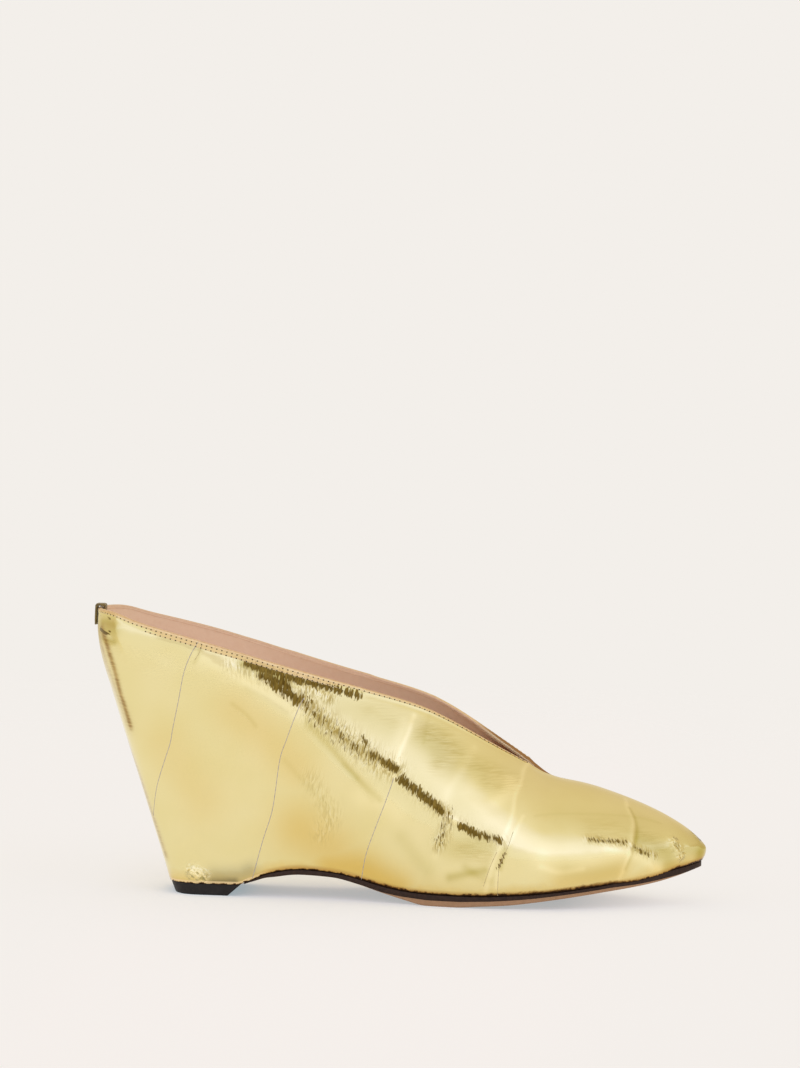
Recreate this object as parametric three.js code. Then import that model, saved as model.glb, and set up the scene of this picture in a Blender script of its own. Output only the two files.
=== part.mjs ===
// Wedge mule for the right foot: a hollow foil leather upper that runs from the collar down over the
// wedge, an insole, a leather outsole, a rubber top lift and a pull tab. Millimetres, +Z up, toe at +X,
// outer side at -Y. Every x below starts at the back of the collar, every y on the heel's centre line.

import * as THREE from 'three';

// Driving sizes
const LENGTH = 240.8;           // back of the collar to the toe tip
const BALL_WIDTH = 75;          // widest outside width, across the ball
const COLLAR_HEIGHT = 110.3;    // floor to the collar at the centre back
const UPPER_WALL = 1.8;         // foil leather and lining together
const INSOLE_THICK = 2.4;
const LIFT_HEIGHT = 4.8;        // rubber under the back of the wedge
const LIFT_FRONT = LENGTH * 0.255;  // front of the lift where it meets the wedge
const LIFT_SLANT_FRONT = 5.5;   // how far the lift's front leans back on its way down
const LIFT_SLANT_BACK = 2.0;    // how far its back leans forward
const LIFT_TAPER = 0.8;         // how much narrower each side is at the floor
const WEDGE_END = LENGTH * 0.623;   // where the wedge has thinned out under the ball
const THROAT = LENGTH * 0.746;      // point of the V
const SOLE_INSET = 0.4;         // outsole's edge behind the upper's lower edge
const TAB_WIDTH = 6.4;
const TAB_THICK = 0.9;
const TAB_OUTER_DROP = 7;       // below the collar, on the outside
const TAB_INNER_DROP = 5;
const GAP = 0.3;                // between neighbouring pieces

// The lower edge of the upper and the outsole's underside, as shares of COLLAR_HEIGHT:
// waist under the arch, flat tread under the ball, toe spring.
const SOLE_LINE = [
  { at: 0.256, top: 0.048, under: 0.036 },
  { at: 0.272, top: 0.062, under: 0.046 },
  { at: 0.295, top: 0.084, under: 0.067 },
  { at: 0.350, top: 0.103, under: 0.084 },
  { at: 0.400, top: 0.097, under: 0.080 },
  { at: 0.440, top: 0.082, under: 0.062 },
  { at: 0.480, top: 0.061, under: 0.037 },
  { at: 0.520, top: 0.047, under: 0.015 },
  { at: 0.555, top: 0.042, under: 0.000 },
  { at: 0.600, top: 0.041, under: 0.000 },
  { at: 0.640, top: 0.042, under: 0.006 },
  { at: 0.690, top: 0.048, under: 0.014 },
  { at: 0.720, top: 0.052, under: 0.022 },
  { at: 0.750, top: 0.058, under: 0.031 },
  { at: 0.830, top: 0.080, under: 0.056 },
  { at: 0.920, top: 0.117, under: 0.087 },
  { at: 1.000, top: 0.155, under: 0.138 },
];

// Half widths as shares of BALL_WIDTH from the centre line `mid`, which swings inward at the toe.
// foot: at the lower edge. belly: at the widest place, whose height is a share of COLLAR_HEIGHT.
// lean: degrees by which the side leans outward at the lower edge.
const WIDTHS = [
  { at: 0.000, mid: 0.000, footOut: 0.273, footIn: 0.273, bellyOut: 0.393, bellyIn: 0.393, high: 0.940, lean: 5 },
  { at: 0.125, mid: 0.000, footOut: 0.273, footIn: 0.273, bellyOut: 0.391, bellyIn: 0.384, high: 0.890, lean: 5 },
  { at: 0.250, mid: 0.000, footOut: 0.280, footIn: 0.275, bellyOut: 0.395, bellyIn: 0.364, high: 0.753, lean: 6 },
  { at: 0.332, mid: 0.000, footOut: 0.288, footIn: 0.267, bellyOut: 0.407, bellyIn: 0.360, high: 0.635, lean: 8 },
  { at: 0.415, mid: 0.000, footOut: 0.320, footIn: 0.280, bellyOut: 0.427, bellyIn: 0.368, high: 0.490, lean: 12 },
  { at: 0.500, mid: 0.000, footOut: 0.383, footIn: 0.334, bellyOut: 0.454, bellyIn: 0.395, high: 0.352, lean: 17 },
  { at: 0.582, mid: 0.000, footOut: 0.454, footIn: 0.400, bellyOut: 0.484, bellyIn: 0.435, high: 0.245, lean: 24 },
  { at: 0.665, mid: 0.003, footOut: 0.485, footIn: 0.448, bellyOut: 0.514, bellyIn: 0.475, high: 0.182, lean: 30 },
  { at: 0.748, mid: 0.011, footOut: 0.461, footIn: 0.434, bellyOut: 0.488, bellyIn: 0.460, high: 0.168, lean: 33 },
  { at: 0.830, mid: 0.024, footOut: 0.374, footIn: 0.342, bellyOut: 0.400, bellyIn: 0.366, high: 0.181, lean: 35 },
  { at: 0.893, mid: 0.036, footOut: 0.277, footIn: 0.232, bellyOut: 0.303, bellyIn: 0.255, high: 0.195, lean: 36 },
  { at: 0.938, mid: 0.044, footOut: 0.190, footIn: 0.140, bellyOut: 0.211, bellyIn: 0.159, high: 0.204, lean: 36 },
  { at: 0.976, mid: 0.051, footOut: 0.117, footIn: 0.063, bellyOut: 0.132, bellyIn: 0.075, high: 0.208, lean: 34 },
  { at: 1.000, mid: 0.053, footOut: 0.072, footIn: 0.035, bellyOut: 0.083, bellyIn: 0.043, high: 0.204, lean: 32 },
];

// Top of each section: the collar's edge as far as the throat, the vamp's ridge beyond it.
// lean: degrees by which the side leans inward there.
const TOP_LINE = [
  { at: 0.000, high: 1.000, out: 0.387, in: 0.387, lean: 2 },
  { at: 0.027, high: 0.999, out: 0.386, in: 0.386, lean: 2 },
  { at: 0.062, high: 0.976, out: 0.385, in: 0.384, lean: 2 },
  { at: 0.125, high: 0.940, out: 0.384, in: 0.379, lean: 3 },
  { at: 0.187, high: 0.904, out: 0.381, in: 0.368, lean: 5 },
  { at: 0.250, high: 0.867, out: 0.371, in: 0.355, lean: 8 },
  { at: 0.332, high: 0.817, out: 0.352, in: 0.333, lean: 14 },
  { at: 0.415, high: 0.770, out: 0.326, in: 0.307, lean: 20 },
  { at: 0.498, high: 0.725, out: 0.301, in: 0.288, lean: 27 },
  { at: 0.540, high: 0.697, out: 0.284, in: 0.277, lean: 31 },
  { at: 0.582, high: 0.655, out: 0.257, in: 0.260, lean: 37 },
  { at: 0.623, high: 0.605, out: 0.217, in: 0.228, lean: 46 },
  { at: 0.665, high: 0.551, out: 0.163, in: 0.181, lean: 57 },
  { at: 0.706, high: 0.499, out: 0.096, in: 0.112, lean: 71 },
  { at: THROAT / LENGTH, high: 0.442, out: 0.000, in: 0.000, lean: 86 },
  { at: 0.800, high: 0.420, out: 0.000, in: 0.000, lean: 86 },
  { at: 0.858, high: 0.382, out: 0.000, in: 0.000, lean: 84 },
  { at: 0.917, high: 0.331, out: 0.000, in: 0.000, lean: 82 },
  { at: 0.947, high: 0.297, out: 0.000, in: 0.000, lean: 80 },
  { at: 0.976, high: 0.257, out: 0.000, in: 0.000, lean: 76 },
  { at: 1.000, high: 0.206, out: 0.000, in: 0.000, lean: 72 },
];

// The inner side's collar stands a little above the outer side's.
const INNER_RISE = 1.2;
const INNER_RISE_FROM = 15;
const INNER_RISE_FULL = 50;

// Top of the insole, from the heel seat down the arch to the ball.
const FOOTBED = [
  { at: 0.000, high: 0.937 },
  { at: 0.083, high: 0.901 },
  { at: 0.166, high: 0.830 },
  { at: 0.249, high: 0.721 },
  { at: 0.332, high: 0.577 },
  { at: 0.415, high: 0.417 },
  { at: 0.498, high: 0.266 },
  { at: 0.540, high: 0.198 },
  { at: 0.581, high: 0.138 },
  { at: 0.623, high: 0.094 },
];

// Centre back, from the collar down the leaning wedge: how far forward it lies at each height.
const BACK_LINE = [
  { high: 0.046, at: 0.1285 },
  { high: 0.317, at: 0.0875 },
  { high: 0.595, at: 0.0445 },
  { high: 0.736, at: 0.023 },
  { high: 0.803, at: 0.012 },
  { high: 0.863, at: 0.005 },
  { high: 0.916, at: 0.001 },
  { high: 0.957, at: 0.000 },
  { high: 1.000, at: 0.001 },
];

// Nose of the toe: how far short of LENGTH the upper ends, from its lower edge up to the ridge.
const NOSE = [
  { level: 0.00, short: 1.3 },
  { level: 0.25, short: 0.3 },
  { level: 0.50, short: 0.0 },
  { level: 0.75, short: 0.4 },
  { level: 1.00, short: 1.8 },
];

// Rounding of the plan at both ends, and the hollow across the footbed and the sole
const COLLAR_ROUND = 30;
const LIFT_ROUND = 17;
const NOSE_ROUND = 9;
const OVAL = 2;                 // exponent of a round end
const SQUARISH = 2.8;           // exponent of the flatter back of the lift
const CAMBER = 1.0;
const SHORT_RUNG = 20;
const HOLLOW_SPAN = [0.395 * LENGTH, 0.58 * LENGTH];  // where the outsole's hollow grows in
const TREAD_FLAT = 0.5;         // share of the sole's half width that lies flat on the floor
const EDGE_CROWN = 1.3;         // how far the sole's lower edge is rounded up

// Mesh steps along the shoe and up each side
const HEEL_END = LIFT_FRONT + GAP;
const NOSE_START = LENGTH - 14.8;
const HEEL_STEPS = 11;
const ARCH_STEPS = 11;
const COLLAR_STEPS = 5;
const VAMP_STEPS = 7;
const NOSE_STEPS = 8;
const LEVELS = 20;
const ACROSS = [-1, -0.6, 0, 0.6, 1];
const ACROSS_UNDER = [-1, -0.97, -0.9, -0.75, -TREAD_FLAT, TREAD_FLAT, 0.75, 0.9, 0.97, 1];

const OUT = 0;
const IN = 1;
const SIGN = [-1, 1];
const DEG = Math.PI / 180;

// Smooth curve through a table's rows that never swings past them
function slopes(xs, ys) {
  const n = xs.length;
  const step = [];
  for (let i = 0; i < n - 1; i++) {
    step.push((ys[i + 1] - ys[i]) / (xs[i + 1] - xs[i]));
  }
  const m = [step[0]];
  for (let i = 1; i < n - 1; i++) {
    if (step[i - 1] * step[i] <= 0) {
      m.push(0);
      continue;
    }
    const before = xs[i] - xs[i - 1];
    const after = xs[i + 1] - xs[i];
    const w1 = 2 * after + before;
    const w2 = after + 2 * before;
    m.push((w1 + w2) / (w1 / step[i - 1] + w2 / step[i]));
  }
  m.push(step[n - 2]);
  return m;
}

function curve(rows, key, column, scaleX, scaleY) {
  const xs = rows.map((row) => row[key] * scaleX);
  const ys = rows.map((row) => row[column] * scaleY);
  const m = slopes(xs, ys);
  const last = xs.length - 1;
  return (x) => {
    if (x <= xs[0]) {
      return ys[0];
    }
    if (x >= xs[last]) {
      return ys[last];
    }
    let i = 0;
    while (x > xs[i + 1]) {
      i += 1;
    }
    const h = xs[i + 1] - xs[i];
    const t = (x - xs[i]) / h;
    const rise = ys[i + 1] - ys[i];
    const bend = h * (m[i] * (1 - t) - m[i + 1] * t) - rise * (1 - 2 * t);
    return ys[i] + rise * t + t * (1 - t) * bend;
  };
}

const along = (rows, column, scaleY) => curve(rows, 'at', column, LENGTH, scaleY);
const widths = (column) => along(WIDTHS, column, BALL_WIDTH);

const soleTop = along(SOLE_LINE, 'top', COLLAR_HEIGHT);
const soleUnder = along(SOLE_LINE, 'under', COLLAR_HEIGHT);
const centreLine = widths('mid');
const footHalf = [widths('footOut'), widths('footIn')];
const bellyHalf = [widths('bellyOut'), widths('bellyIn')];
const bellyHigh = along(WIDTHS, 'high', COLLAR_HEIGHT);
const footLean = along(WIDTHS, 'lean', DEG);
const topHalf = [along(TOP_LINE, 'out', BALL_WIDTH), along(TOP_LINE, 'in', BALL_WIDTH)];
const topLine = along(TOP_LINE, 'high', COLLAR_HEIGHT);
const topLean = along(TOP_LINE, 'lean', DEG);
const footbedLine = along(FOOTBED, 'high', COLLAR_HEIGHT);
const backLine = curve(BACK_LINE, 'high', 'at', COLLAR_HEIGHT, LENGTH);
const noseShort = curve(NOSE, 'level', 'short', 1, 1);

// Height of the upper's lower edge: level over the lift, a gap above the outsole in front of it
const lowerEdge = (x) => (x < LIFT_FRONT ? LIFT_HEIGHT + GAP : soleTop(x) + GAP);

// Height of the collar or ridge on one side
function topHigh(side, x) {
  if (side === OUT) {
    return topLine(x);
  }
  const rising = THREE.MathUtils.smoothstep(x, INNER_RISE_FROM, INNER_RISE_FULL);
  const falling = THREE.MathUtils.smoothstep(x, THROAT - INNER_RISE_FULL, THROAT);
  return topLine(x) + INNER_RISE * rising * (1 - falling);
}

// Rounded closing of a level curve, 0 at its end and 1 from `radius` on
function cap(distance, radius, exponent) {
  const q = THREE.MathUtils.clamp(distance / radius, 0, 1);
  return (1 - (1 - q) ** exponent) ** (1 / exponent);
}

function hermite(p0, d0, p1, d1, t) {
  const s = 1 - t;
  const a = s * s * (1 + 2 * t);
  const b = t * s * s;
  const c = t * t * (3 - 2 * t);
  const d = -t * t * s;
  return [0, 1].map((n) => a * p0[n] + b * d0[n] + c * p1[n] + d * d1[n]);
}

// One section of one side: half width and height, `level` 0 at the lower edge and 1 at the top,
// even steps of arc length between them
const SECTION_STEPS = 16;

function section(side, x, level) {
  const foot = [footHalf[side](x), lowerEdge(x)];
  const top = [topHalf[side](x), topHigh(side, x)];
  const belly = [bellyHalf[side](x), Math.min(bellyHigh(x), top[1] - 3)];
  const low = Math.hypot(belly[0] - foot[0], belly[1] - foot[1]);
  const high = Math.hypot(top[0] - belly[0], top[1] - belly[1]);
  const footWay = [low * Math.sin(footLean(x)), low * Math.cos(footLean(x))];
  const topWay = [-high * Math.sin(topLean(x)), high * Math.cos(topLean(x))];
  const points = [];
  for (let i = 0; i <= SECTION_STEPS; i++) {
    points.push(hermite(foot, footWay, belly, [0, low], i / SECTION_STEPS));
  }
  for (let i = 1; i <= SECTION_STEPS; i++) {
    points.push(hermite(belly, [0, high], top, topWay, i / SECTION_STEPS));
  }
  const reach = [0];
  for (let i = 1; i < points.length; i++) {
    const step = Math.hypot(points[i][0] - points[i - 1][0], points[i][1] - points[i - 1][1]);
    reach.push(reach[i - 1] + step);
  }
  const wanted = level * reach[reach.length - 1];
  let i = 1;
  while (i < points.length - 1 && reach[i] < wanted) {
    i += 1;
  }
  const t = (wanted - reach[i - 1]) / (reach[i] - reach[i - 1]);
  return [0, 1].map((n) => points[i - 1][n] + (points[i][n] - points[i - 1][n]) * t);
}

// Stations along the shoe, closer together where the plan turns at heel and toe
function stations() {
  const list = [];
  const even = (from, to, steps) => {
    for (let i = 1; i <= steps; i++) {
      list.push(from + ((to - from) * i) / steps);
    }
  };
  for (let i = 0; i < HEEL_STEPS; i++) {
    list.push(HEEL_END * (1 - Math.cos((Math.PI / 2) * (i / HEEL_STEPS))));
  }
  const liftShare = (LIFT_FRONT - backLine(LIFT_HEIGHT)) / (HEEL_END - backLine(LIFT_HEIGHT));
  list.push(HEEL_END * liftShare, HEEL_END);
  even(HEEL_END, WEDGE_END, ARCH_STEPS);
  even(WEDGE_END, THROAT, COLLAR_STEPS);
  even(THROAT, NOSE_START, VAMP_STEPS);
  for (let i = 1; i <= NOSE_STEPS; i++) {
    list.push(NOSE_START + (LENGTH - NOSE_START) * Math.sin((Math.PI / 2) * (i / NOSE_STEPS)));
  }
  return list;
}

const STATIONS = stations();
const LAST = STATIONS.length - 1;
const heelStation = STATIONS.indexOf(HEEL_END);
const wedgeStation = STATIONS.indexOf(WEDGE_END);
const throatStation = STATIONS.indexOf(THROAT);
const noseStation = STATIONS.indexOf(NOSE_START);

// Where a level starts at the back
function backOf(level) {
  let x = backLine(COLLAR_HEIGHT * level);
  for (let round = 0; round < 4; round++) {
    x = backLine(section(OUT, x, level)[1]);
  }
  return x;
}

// Outer skin of one side as a grid of points: stations along the shoe, levels up the side
function outerSkin(side) {
  const grid = STATIONS.map(() => []);
  for (let k = 0; k <= LEVELS; k++) {
    const level = k / LEVELS;
    const start = backOf(level);
    const end = LENGTH - noseShort(level);
    const round = LIFT_ROUND + (COLLAR_ROUND - LIFT_ROUND) * level;
    const exponent = SQUARISH + (OVAL - SQUARISH) * level;
    STATIONS.forEach((station, i) => {
      let x = station;
      if (i < heelStation) {
        x = start + (station * (HEEL_END - start)) / HEEL_END;
      }
      if (i > noseStation) {
        x = NOSE_START + ((station - NOSE_START) * (end - NOSE_START)) / (LENGTH - NOSE_START);
      }
      const [half, high] = section(side, x, level);
      const width = half * cap(x - start, round, exponent) * cap(end - x, NOSE_ROUND, OVAL);
      grid[i].push(new THREE.Vector3(x, centreLine(x) + SIGN[side] * width, high));
    });
  }
  return grid;
}

const skin = [outerSkin(OUT), outerSkin(IN)];

// Both sides meet in one line at the centre back and at the nose
for (const i of [0, LAST]) {
  skin[OUT][i].forEach((point, k) => {
    point.lerp(skin[IN][i][k], 0.5);
    skin[IN][i][k].copy(point);
  });
}

// Point of the skin, stepping over the centre back, the toe's centre and the ridge to the other side
function neighbour(side, i, k) {
  if (i < 0 || i > LAST) {
    return skin[1 - side][i < 0 ? 1 : LAST - 1][k];
  }
  if (k > LEVELS) {
    return i >= throatStation ? skin[1 - side][i][LEVELS - 1] : skin[side][i][LEVELS];
  }
  return skin[side][i][Math.max(k, 0)];
}

// Unit direction from the outer skin towards the inside of the shoe. Along the lower edge it stays
// level, so that the wall stands flat on the sole.
function inward(side, i, k) {
  const forward = neighbour(side, i + 1, k).clone().sub(neighbour(side, i - 1, k));
  const up = neighbour(side, i, k + 1).clone().sub(neighbour(side, i, k - 1));
  const way = up.cross(forward).multiplyScalar(-SIGN[side]);
  if (k === 0) {
    way.z = 0;
  }
  return way.normalize();
}

const onBothSides = (i, k) => i === 0 || i === LAST || (k === LEVELS && i >= throatStation);
const towardsInside = [OUT, IN].map((side) =>
  STATIONS.map((station, i) =>
    skin[side][i].map((point, k) => inward(onBothSides(i, k) ? OUT : side, i, k))));

// The skin moved inward by a depth
const sunk = (side, i, k, depth) => skin[side][i][k].clone().addScaledVector(towardsInside[side][i][k], depth);

// Where the skin, sunk by a depth, crosses a height that depends on x
function atHeight(side, i, depth, heightAt) {
  let before = sunk(side, i, 0, depth);
  let beforeOver = before.z - heightAt(before.x);
  if (beforeOver >= 0) {
    return new THREE.Vector3(before.x, before.y, heightAt(before.x));
  }
  for (let k = 1; k <= LEVELS; k++) {
    const here = sunk(side, i, k, depth);
    const over = here.z - heightAt(here.x);
    if (over >= 0) {
      return before.lerp(here, beforeOver / (beforeOver - over));
    }
    before = here;
    beforeOver = over;
  }
  return before;
}

// Closed faceted body that welds shared corners and drops collapsed triangles
class Body {
  constructor() {
    this.corners = [];
    this.faces = [];
    this.known = new Map();
  }

  corner(point) {
    const key = [point.x, point.y, point.z].map((value) => Math.round(value * 1e4)).join(' ');
    if (!this.known.has(key)) {
      this.known.set(key, this.corners.length);
      this.corners.push(point);
    }
    return this.known.get(key);
  }

  triangle(a, b, c) {
    const face = [this.corner(a), this.corner(b), this.corner(c)];
    if (face[0] !== face[1] && face[1] !== face[2] && face[2] !== face[0]) {
      this.faces.push(face);
    }
  }

  // Grid of points as triangles, each cell split along its shorter diagonal. The last corner's cell
  // keeps the diagonal that leaves no triangle wholly on the two lines shared with the other side.
  patch(columns, flip) {
    const lastColumn = columns.length - 2;
    for (let i = 0; i <= lastColumn; i++) {
      const lastRow = columns[i].length - 2;
      for (let k = 0; k <= lastRow; k++) {
        const [a, b, c, d] = [columns[i][k], columns[i + 1][k], columns[i + 1][k + 1], columns[i][k + 1]];
        const corner = i === lastColumn && k === lastRow;
        const rising = corner || a.distanceToSquared(c) <= b.distanceToSquared(d);
        const halves = rising ? [[a, b, c], [a, c, d]] : [[a, b, d], [b, c, d]];
        for (const half of halves) {
          this.triangle(...(flip ? half.reverse() : half));
        }
      }
    }
  }

  // Skin over a row of rings of equal count, each end closed by a cap seen along the shoe
  loft(rings) {
    this.patch(rings.map((ring) => [...ring, ring[0]]), false);
    this.cap(rings[0], true);
    this.cap(rings[rings.length - 1], false);
  }

  cap(ring, flip) {
    const outline = ring.map((point) => new THREE.Vector2(point.y, point.z));
    if (Math.abs(THREE.ShapeUtils.area(outline)) < 1e-3) {
      return;
    }
    for (const [a, b, c] of THREE.ShapeUtils.triangulateShape(outline, [])) {
      const face = [ring[a], ring[b], ring[c]];
      this.triangle(...(flip ? face.reverse() : face));
    }
  }

  volume() {
    return this.faces.reduce((sum, [a, b, c]) => {
      const [p, q, r] = [this.corners[a], this.corners[b], this.corners[c]];
      return sum + p.dot(q.clone().cross(r)) / 6;
    }, 0);
  }

  mesh(name, look) {
    const outward = this.volume() > 0;
    const geometry = new THREE.BufferGeometry();
    const positions = this.corners.flatMap((point) => point.toArray());
    geometry.setAttribute('position', new THREE.Float32BufferAttribute(positions, 3));
    geometry.setIndex(this.faces.flatMap((face) => (outward ? face : [...face].reverse())));
    geometry.computeVertexNormals();
    const mesh = new THREE.Mesh(geometry, new THREE.MeshStandardMaterial(look));
    mesh.name = name;
    return mesh;
  }
}

// Upper: outer skin, inner skin, the strip it stands on and the cut edge of the collar
function upper() {
  const body = new Body();
  for (const side of [OUT, IN]) {
    const inner = skin[side].map((column, i) => column.map((point, k) => sunk(side, i, k, UPPER_WALL)));
    body.patch(skin[side], side === IN);
    body.patch(inner, side === OUT);
    body.patch(STATIONS.map((station, i) => [inner[i][0], skin[side][i][0]]), side === IN);
    const collar = [];
    for (let i = 0; i <= throatStation; i++) {
      collar.push([skin[side][i][LEVELS], inner[i][LEVELS]]);
    }
    body.patch(collar, side === IN);
  }
  return body;
}

// Share of the half width at which a point lies, -1 to 1 between the two sides of a rung
function acrossRung(outEnd, inEnd, share) {
  return outEnd.clone().lerp(inEnd, (share + 1) / 2);
}

// Hollow across the footbed and the sole at a share of the half width; it fades out where the rung
// is short, and the sole's fades out along the arch so that the wedge stands flat on the lift
const hollow = (share, length) => -CAMBER * (1 - share * share) * Math.min(1, length / SHORT_RUNG);
const soleHollow = (share, length, x) => hollow(share, length) * THREE.MathUtils.smoothstep(x, ...HOLLOW_SPAN);

// Heights of the layers, at the edge: the insole lies on the wedge, then on the outsole
const insoleTop = (x) => {
  const onSole = soleTop(x) + GAP + INSOLE_THICK;
  return x < WEDGE_END ? footbedLine(x) : Math.max(onSole, footbedLine(WEDGE_END) - (x - WEDGE_END) * 0.25);
};
const insoleUnder = (x) => insoleTop(x) - INSOLE_THICK;
const wedgeTop = (x) => insoleUnder(x) - GAP;

// A row of points from one end to the other, hollowed by the camber
function row(ends, shares, dip) {
  const length = ends[OUT].distanceTo(ends[IN]);
  return shares.map((share) => {
    const point = acrossRung(ends[OUT], ends[IN], share);
    point.z += dip(share, length, point.x);
    return point;
  });
}

function rung(i, depth, heightAt, dip) {
  const ends = [OUT, IN].map((side) => atHeight(side, i, depth, heightAt));
  return row(ends, ACROSS, dip);
}

function insole() {
  const body = new Body();
  const depth = UPPER_WALL + GAP;
  const rings = STATIONS.map((station, i) => {
    const top = rung(i, depth, insoleTop, hollow);
    const under = rung(i, depth, insoleUnder, hollow);
    return [...top, ...under.reverse()];
  });
  body.loft(rings);
  return body;
}

// Wedge: fills the upper from the lift and outsole up to the insole
const WEDGE_SIDE = [0, 0.08, 0.25, 0.5, 0.75, 1];

function wedge() {
  const body = new Body();
  const depth = UPPER_WALL + GAP;
  const rings = [];
  for (let i = 0; i <= wedgeStation; i++) {
    const top = rung(i, depth, wedgeTop, hollow);
    const under = rung(i, depth, lowerEdge, soleHollow);
    const climb = (side, share) => atHeight(side, i, depth, (x) =>
      lowerEdge(x) + (wedgeTop(x) - lowerEdge(x)) * share);
    const rising = WEDGE_SIDE.slice(1, -1);
    const outside = rising.map((share) => climb(OUT, share));
    const inside = rising.map((share) => climb(IN, share));
    rings.push([...under.reverse(), ...outside, ...top, ...inside.reverse()]);
  }
  body.loft(rings);
  return body;
}

// Outsole: flat on the floor under the ball, rounded up along its lower edge, thin at the waist
function outsole() {
  const body = new Body();
  const crown = (share) => {
    const past = Math.max(0, Math.abs(share) - TREAD_FLAT) / (1 - TREAD_FLAT);
    return EDGE_CROWN * past * past * past;
  };
  const rings = [];
  for (let i = heelStation; i <= LAST; i++) {
    const ends = [OUT, IN].map((side) => sunk(side, i, 0, SOLE_INSET));
    const thick = soleTop(ends[OUT].x) - soleUnder(ends[OUT].x);
    const bend = Math.min(1, thick / (3 * EDGE_CROWN));
    const upperEnds = ends.map((point) => point.clone().setZ(soleTop(point.x)));
    const lowerEnds = ends.map((point) => point.clone().setZ(soleUnder(point.x)));
    const top = row(upperEnds, ACROSS, soleHollow);
    const under = row(lowerEnds, ACROSS_UNDER, (share) => crown(share) * bend);
    rings.push([...top, ...under.reverse()]);
  }
  body.loft(rings);
  return body;
}

// Top lift: a rubber block with slanted front and back, flat on the floor
function topLift() {
  const body = new Body();
  const back = backLine(LIFT_HEIGHT) + SOLE_INSET;
  const rings = [];
  for (let i = 0; i < heelStation; i++) {
    const ends = [OUT, IN].map((side) => sunk(side, i, 0, SOLE_INSET));
    const share = Math.min(1, (ends[OUT].x - back) / (LIFT_FRONT - back));
    const lean = LIFT_SLANT_BACK * (1 - share) - LIFT_SLANT_FRONT * share;
    const ring = [OUT, IN].map((side) => ends[side].clone().setZ(LIFT_HEIGHT));
    for (const side of [IN, OUT]) {
      const half = Math.abs(ends[side].y);
      const foot = ends[side].clone().setZ(0);
      foot.x += lean;
      foot.y = SIGN[side] * half * (1 - LIFT_TAPER / footHalf[side](ends[side].x));
      ring.push(foot);
    }
    rings.push(ring);
  }
  body.loft(rings);
  return body;
}

// Pull tab: a strip folded over the collar at the centre back
function backTab() {
  const body = new Body();
  const wall = UPPER_WALL + GAP;
  const behind = (z) => backLine(z) - GAP;
  const crest = COLLAR_HEIGHT + GAP;
  const low = COLLAR_HEIGHT - TAB_OUTER_DROP;
  const inLow = COLLAR_HEIGHT - TAB_INNER_DROP;
  const middle = (low + COLLAR_HEIGHT) / 2;
  const near = [
    [behind(low), low],
    [behind(middle), middle],
    [behind(COLLAR_HEIGHT), crest],
    [backLine(COLLAR_HEIGHT) + wall, crest],
    [backLine(inLow) + wall, inLow],
  ];
  const far = [
    [behind(low) - TAB_THICK, low],
    [behind(middle) - TAB_THICK, middle],
    [behind(COLLAR_HEIGHT) - TAB_THICK, crest + TAB_THICK * 0.4],
    [behind(COLLAR_HEIGHT) - TAB_THICK * 0.4, crest + TAB_THICK],
    [backLine(COLLAR_HEIGHT) + wall + TAB_THICK * 0.6, crest + TAB_THICK],
    [backLine(COLLAR_HEIGHT) + wall + TAB_THICK, crest + TAB_THICK * 0.4],
    [backLine(inLow) + wall + TAB_THICK, inLow],
  ];
  const outline = [...near, ...far.reverse()];
  const half = topHalf[OUT](0);
  const rings = [];
  for (const share of [-1, -0.5, 0, 0.5, 1]) {
    const y = (TAB_WIDTH / 2) * share;
    const bow = COLLAR_ROUND * (1 - Math.sqrt(1 - (y / half) ** 2));
    rings.push(outline.map(([x, z]) => new THREE.Vector3(x + bow, y, z)));
  }
  body.patch(rings.map((ring) => [...ring, ring[0]]), false);
  const flat = outline.map(([x, z]) => new THREE.Vector2(x, z));
  for (const [a, b, c] of THREE.ShapeUtils.triangulateShape(flat, [])) {
    body.triangle(rings[0][a], rings[0][b], rings[0][c]);
    body.triangle(rings[4][c], rings[4][b], rings[4][a]);
  }
  return body;
}

const LOOKS = {
  foil: { color: 0xdccb86, roughness: 0.28, metalness: 0.9 },
  core: { color: 0xb59a78, roughness: 0.85, metalness: 0 },
  lining: { color: 0xd8a883, roughness: 0.65, metalness: 0 },
  sole: { color: 0xb58a66, roughness: 0.6, metalness: 0 },
  rubber: { color: 0x26211f, roughness: 0.7, metalness: 0 },
  strip: { color: 0x5a4630, roughness: 0.6, metalness: 0 },
};

const mule = new THREE.Group();
mule.name = 'wedge_mule';
mule.add(
  upper().mesh('upper', LOOKS.foil),
  wedge().mesh('wedge', LOOKS.core),
  insole().mesh('insole', LOOKS.lining),
  outsole().mesh('outsole', LOOKS.sole),
  topLift().mesh('top_lift', LOOKS.rubber),
  backTab().mesh('back_tab', LOOKS.strip),
);

// Origin at the middle of the footprint, on the floor
const box = new THREE.Box3().setFromObject(mule);
const middle = box.getCenter(new THREE.Vector3());
for (const piece of mule.children) {
  piece.geometry.translate(-middle.x, -middle.y, -box.min.z);
}

export default mule;
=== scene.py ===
# Wedge mule for the right foot, dressed: a gold foil cover in seamed strips over upper and wedge, with
# its creases placed one by one, a nude lining and insole, a leather sole with a dark painted edge, a
# rubber top lift and a small pull tab.
# The shoe's own sizes are in millimetres: x from the back of the collar to the toe, y from the heel's
# centre line with the outer side at -y, z from the floor.

import math

import bpy
import numpy as np
from mathutils import Matrix, Vector
from mathutils.bvhtree import BVHTree


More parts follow.
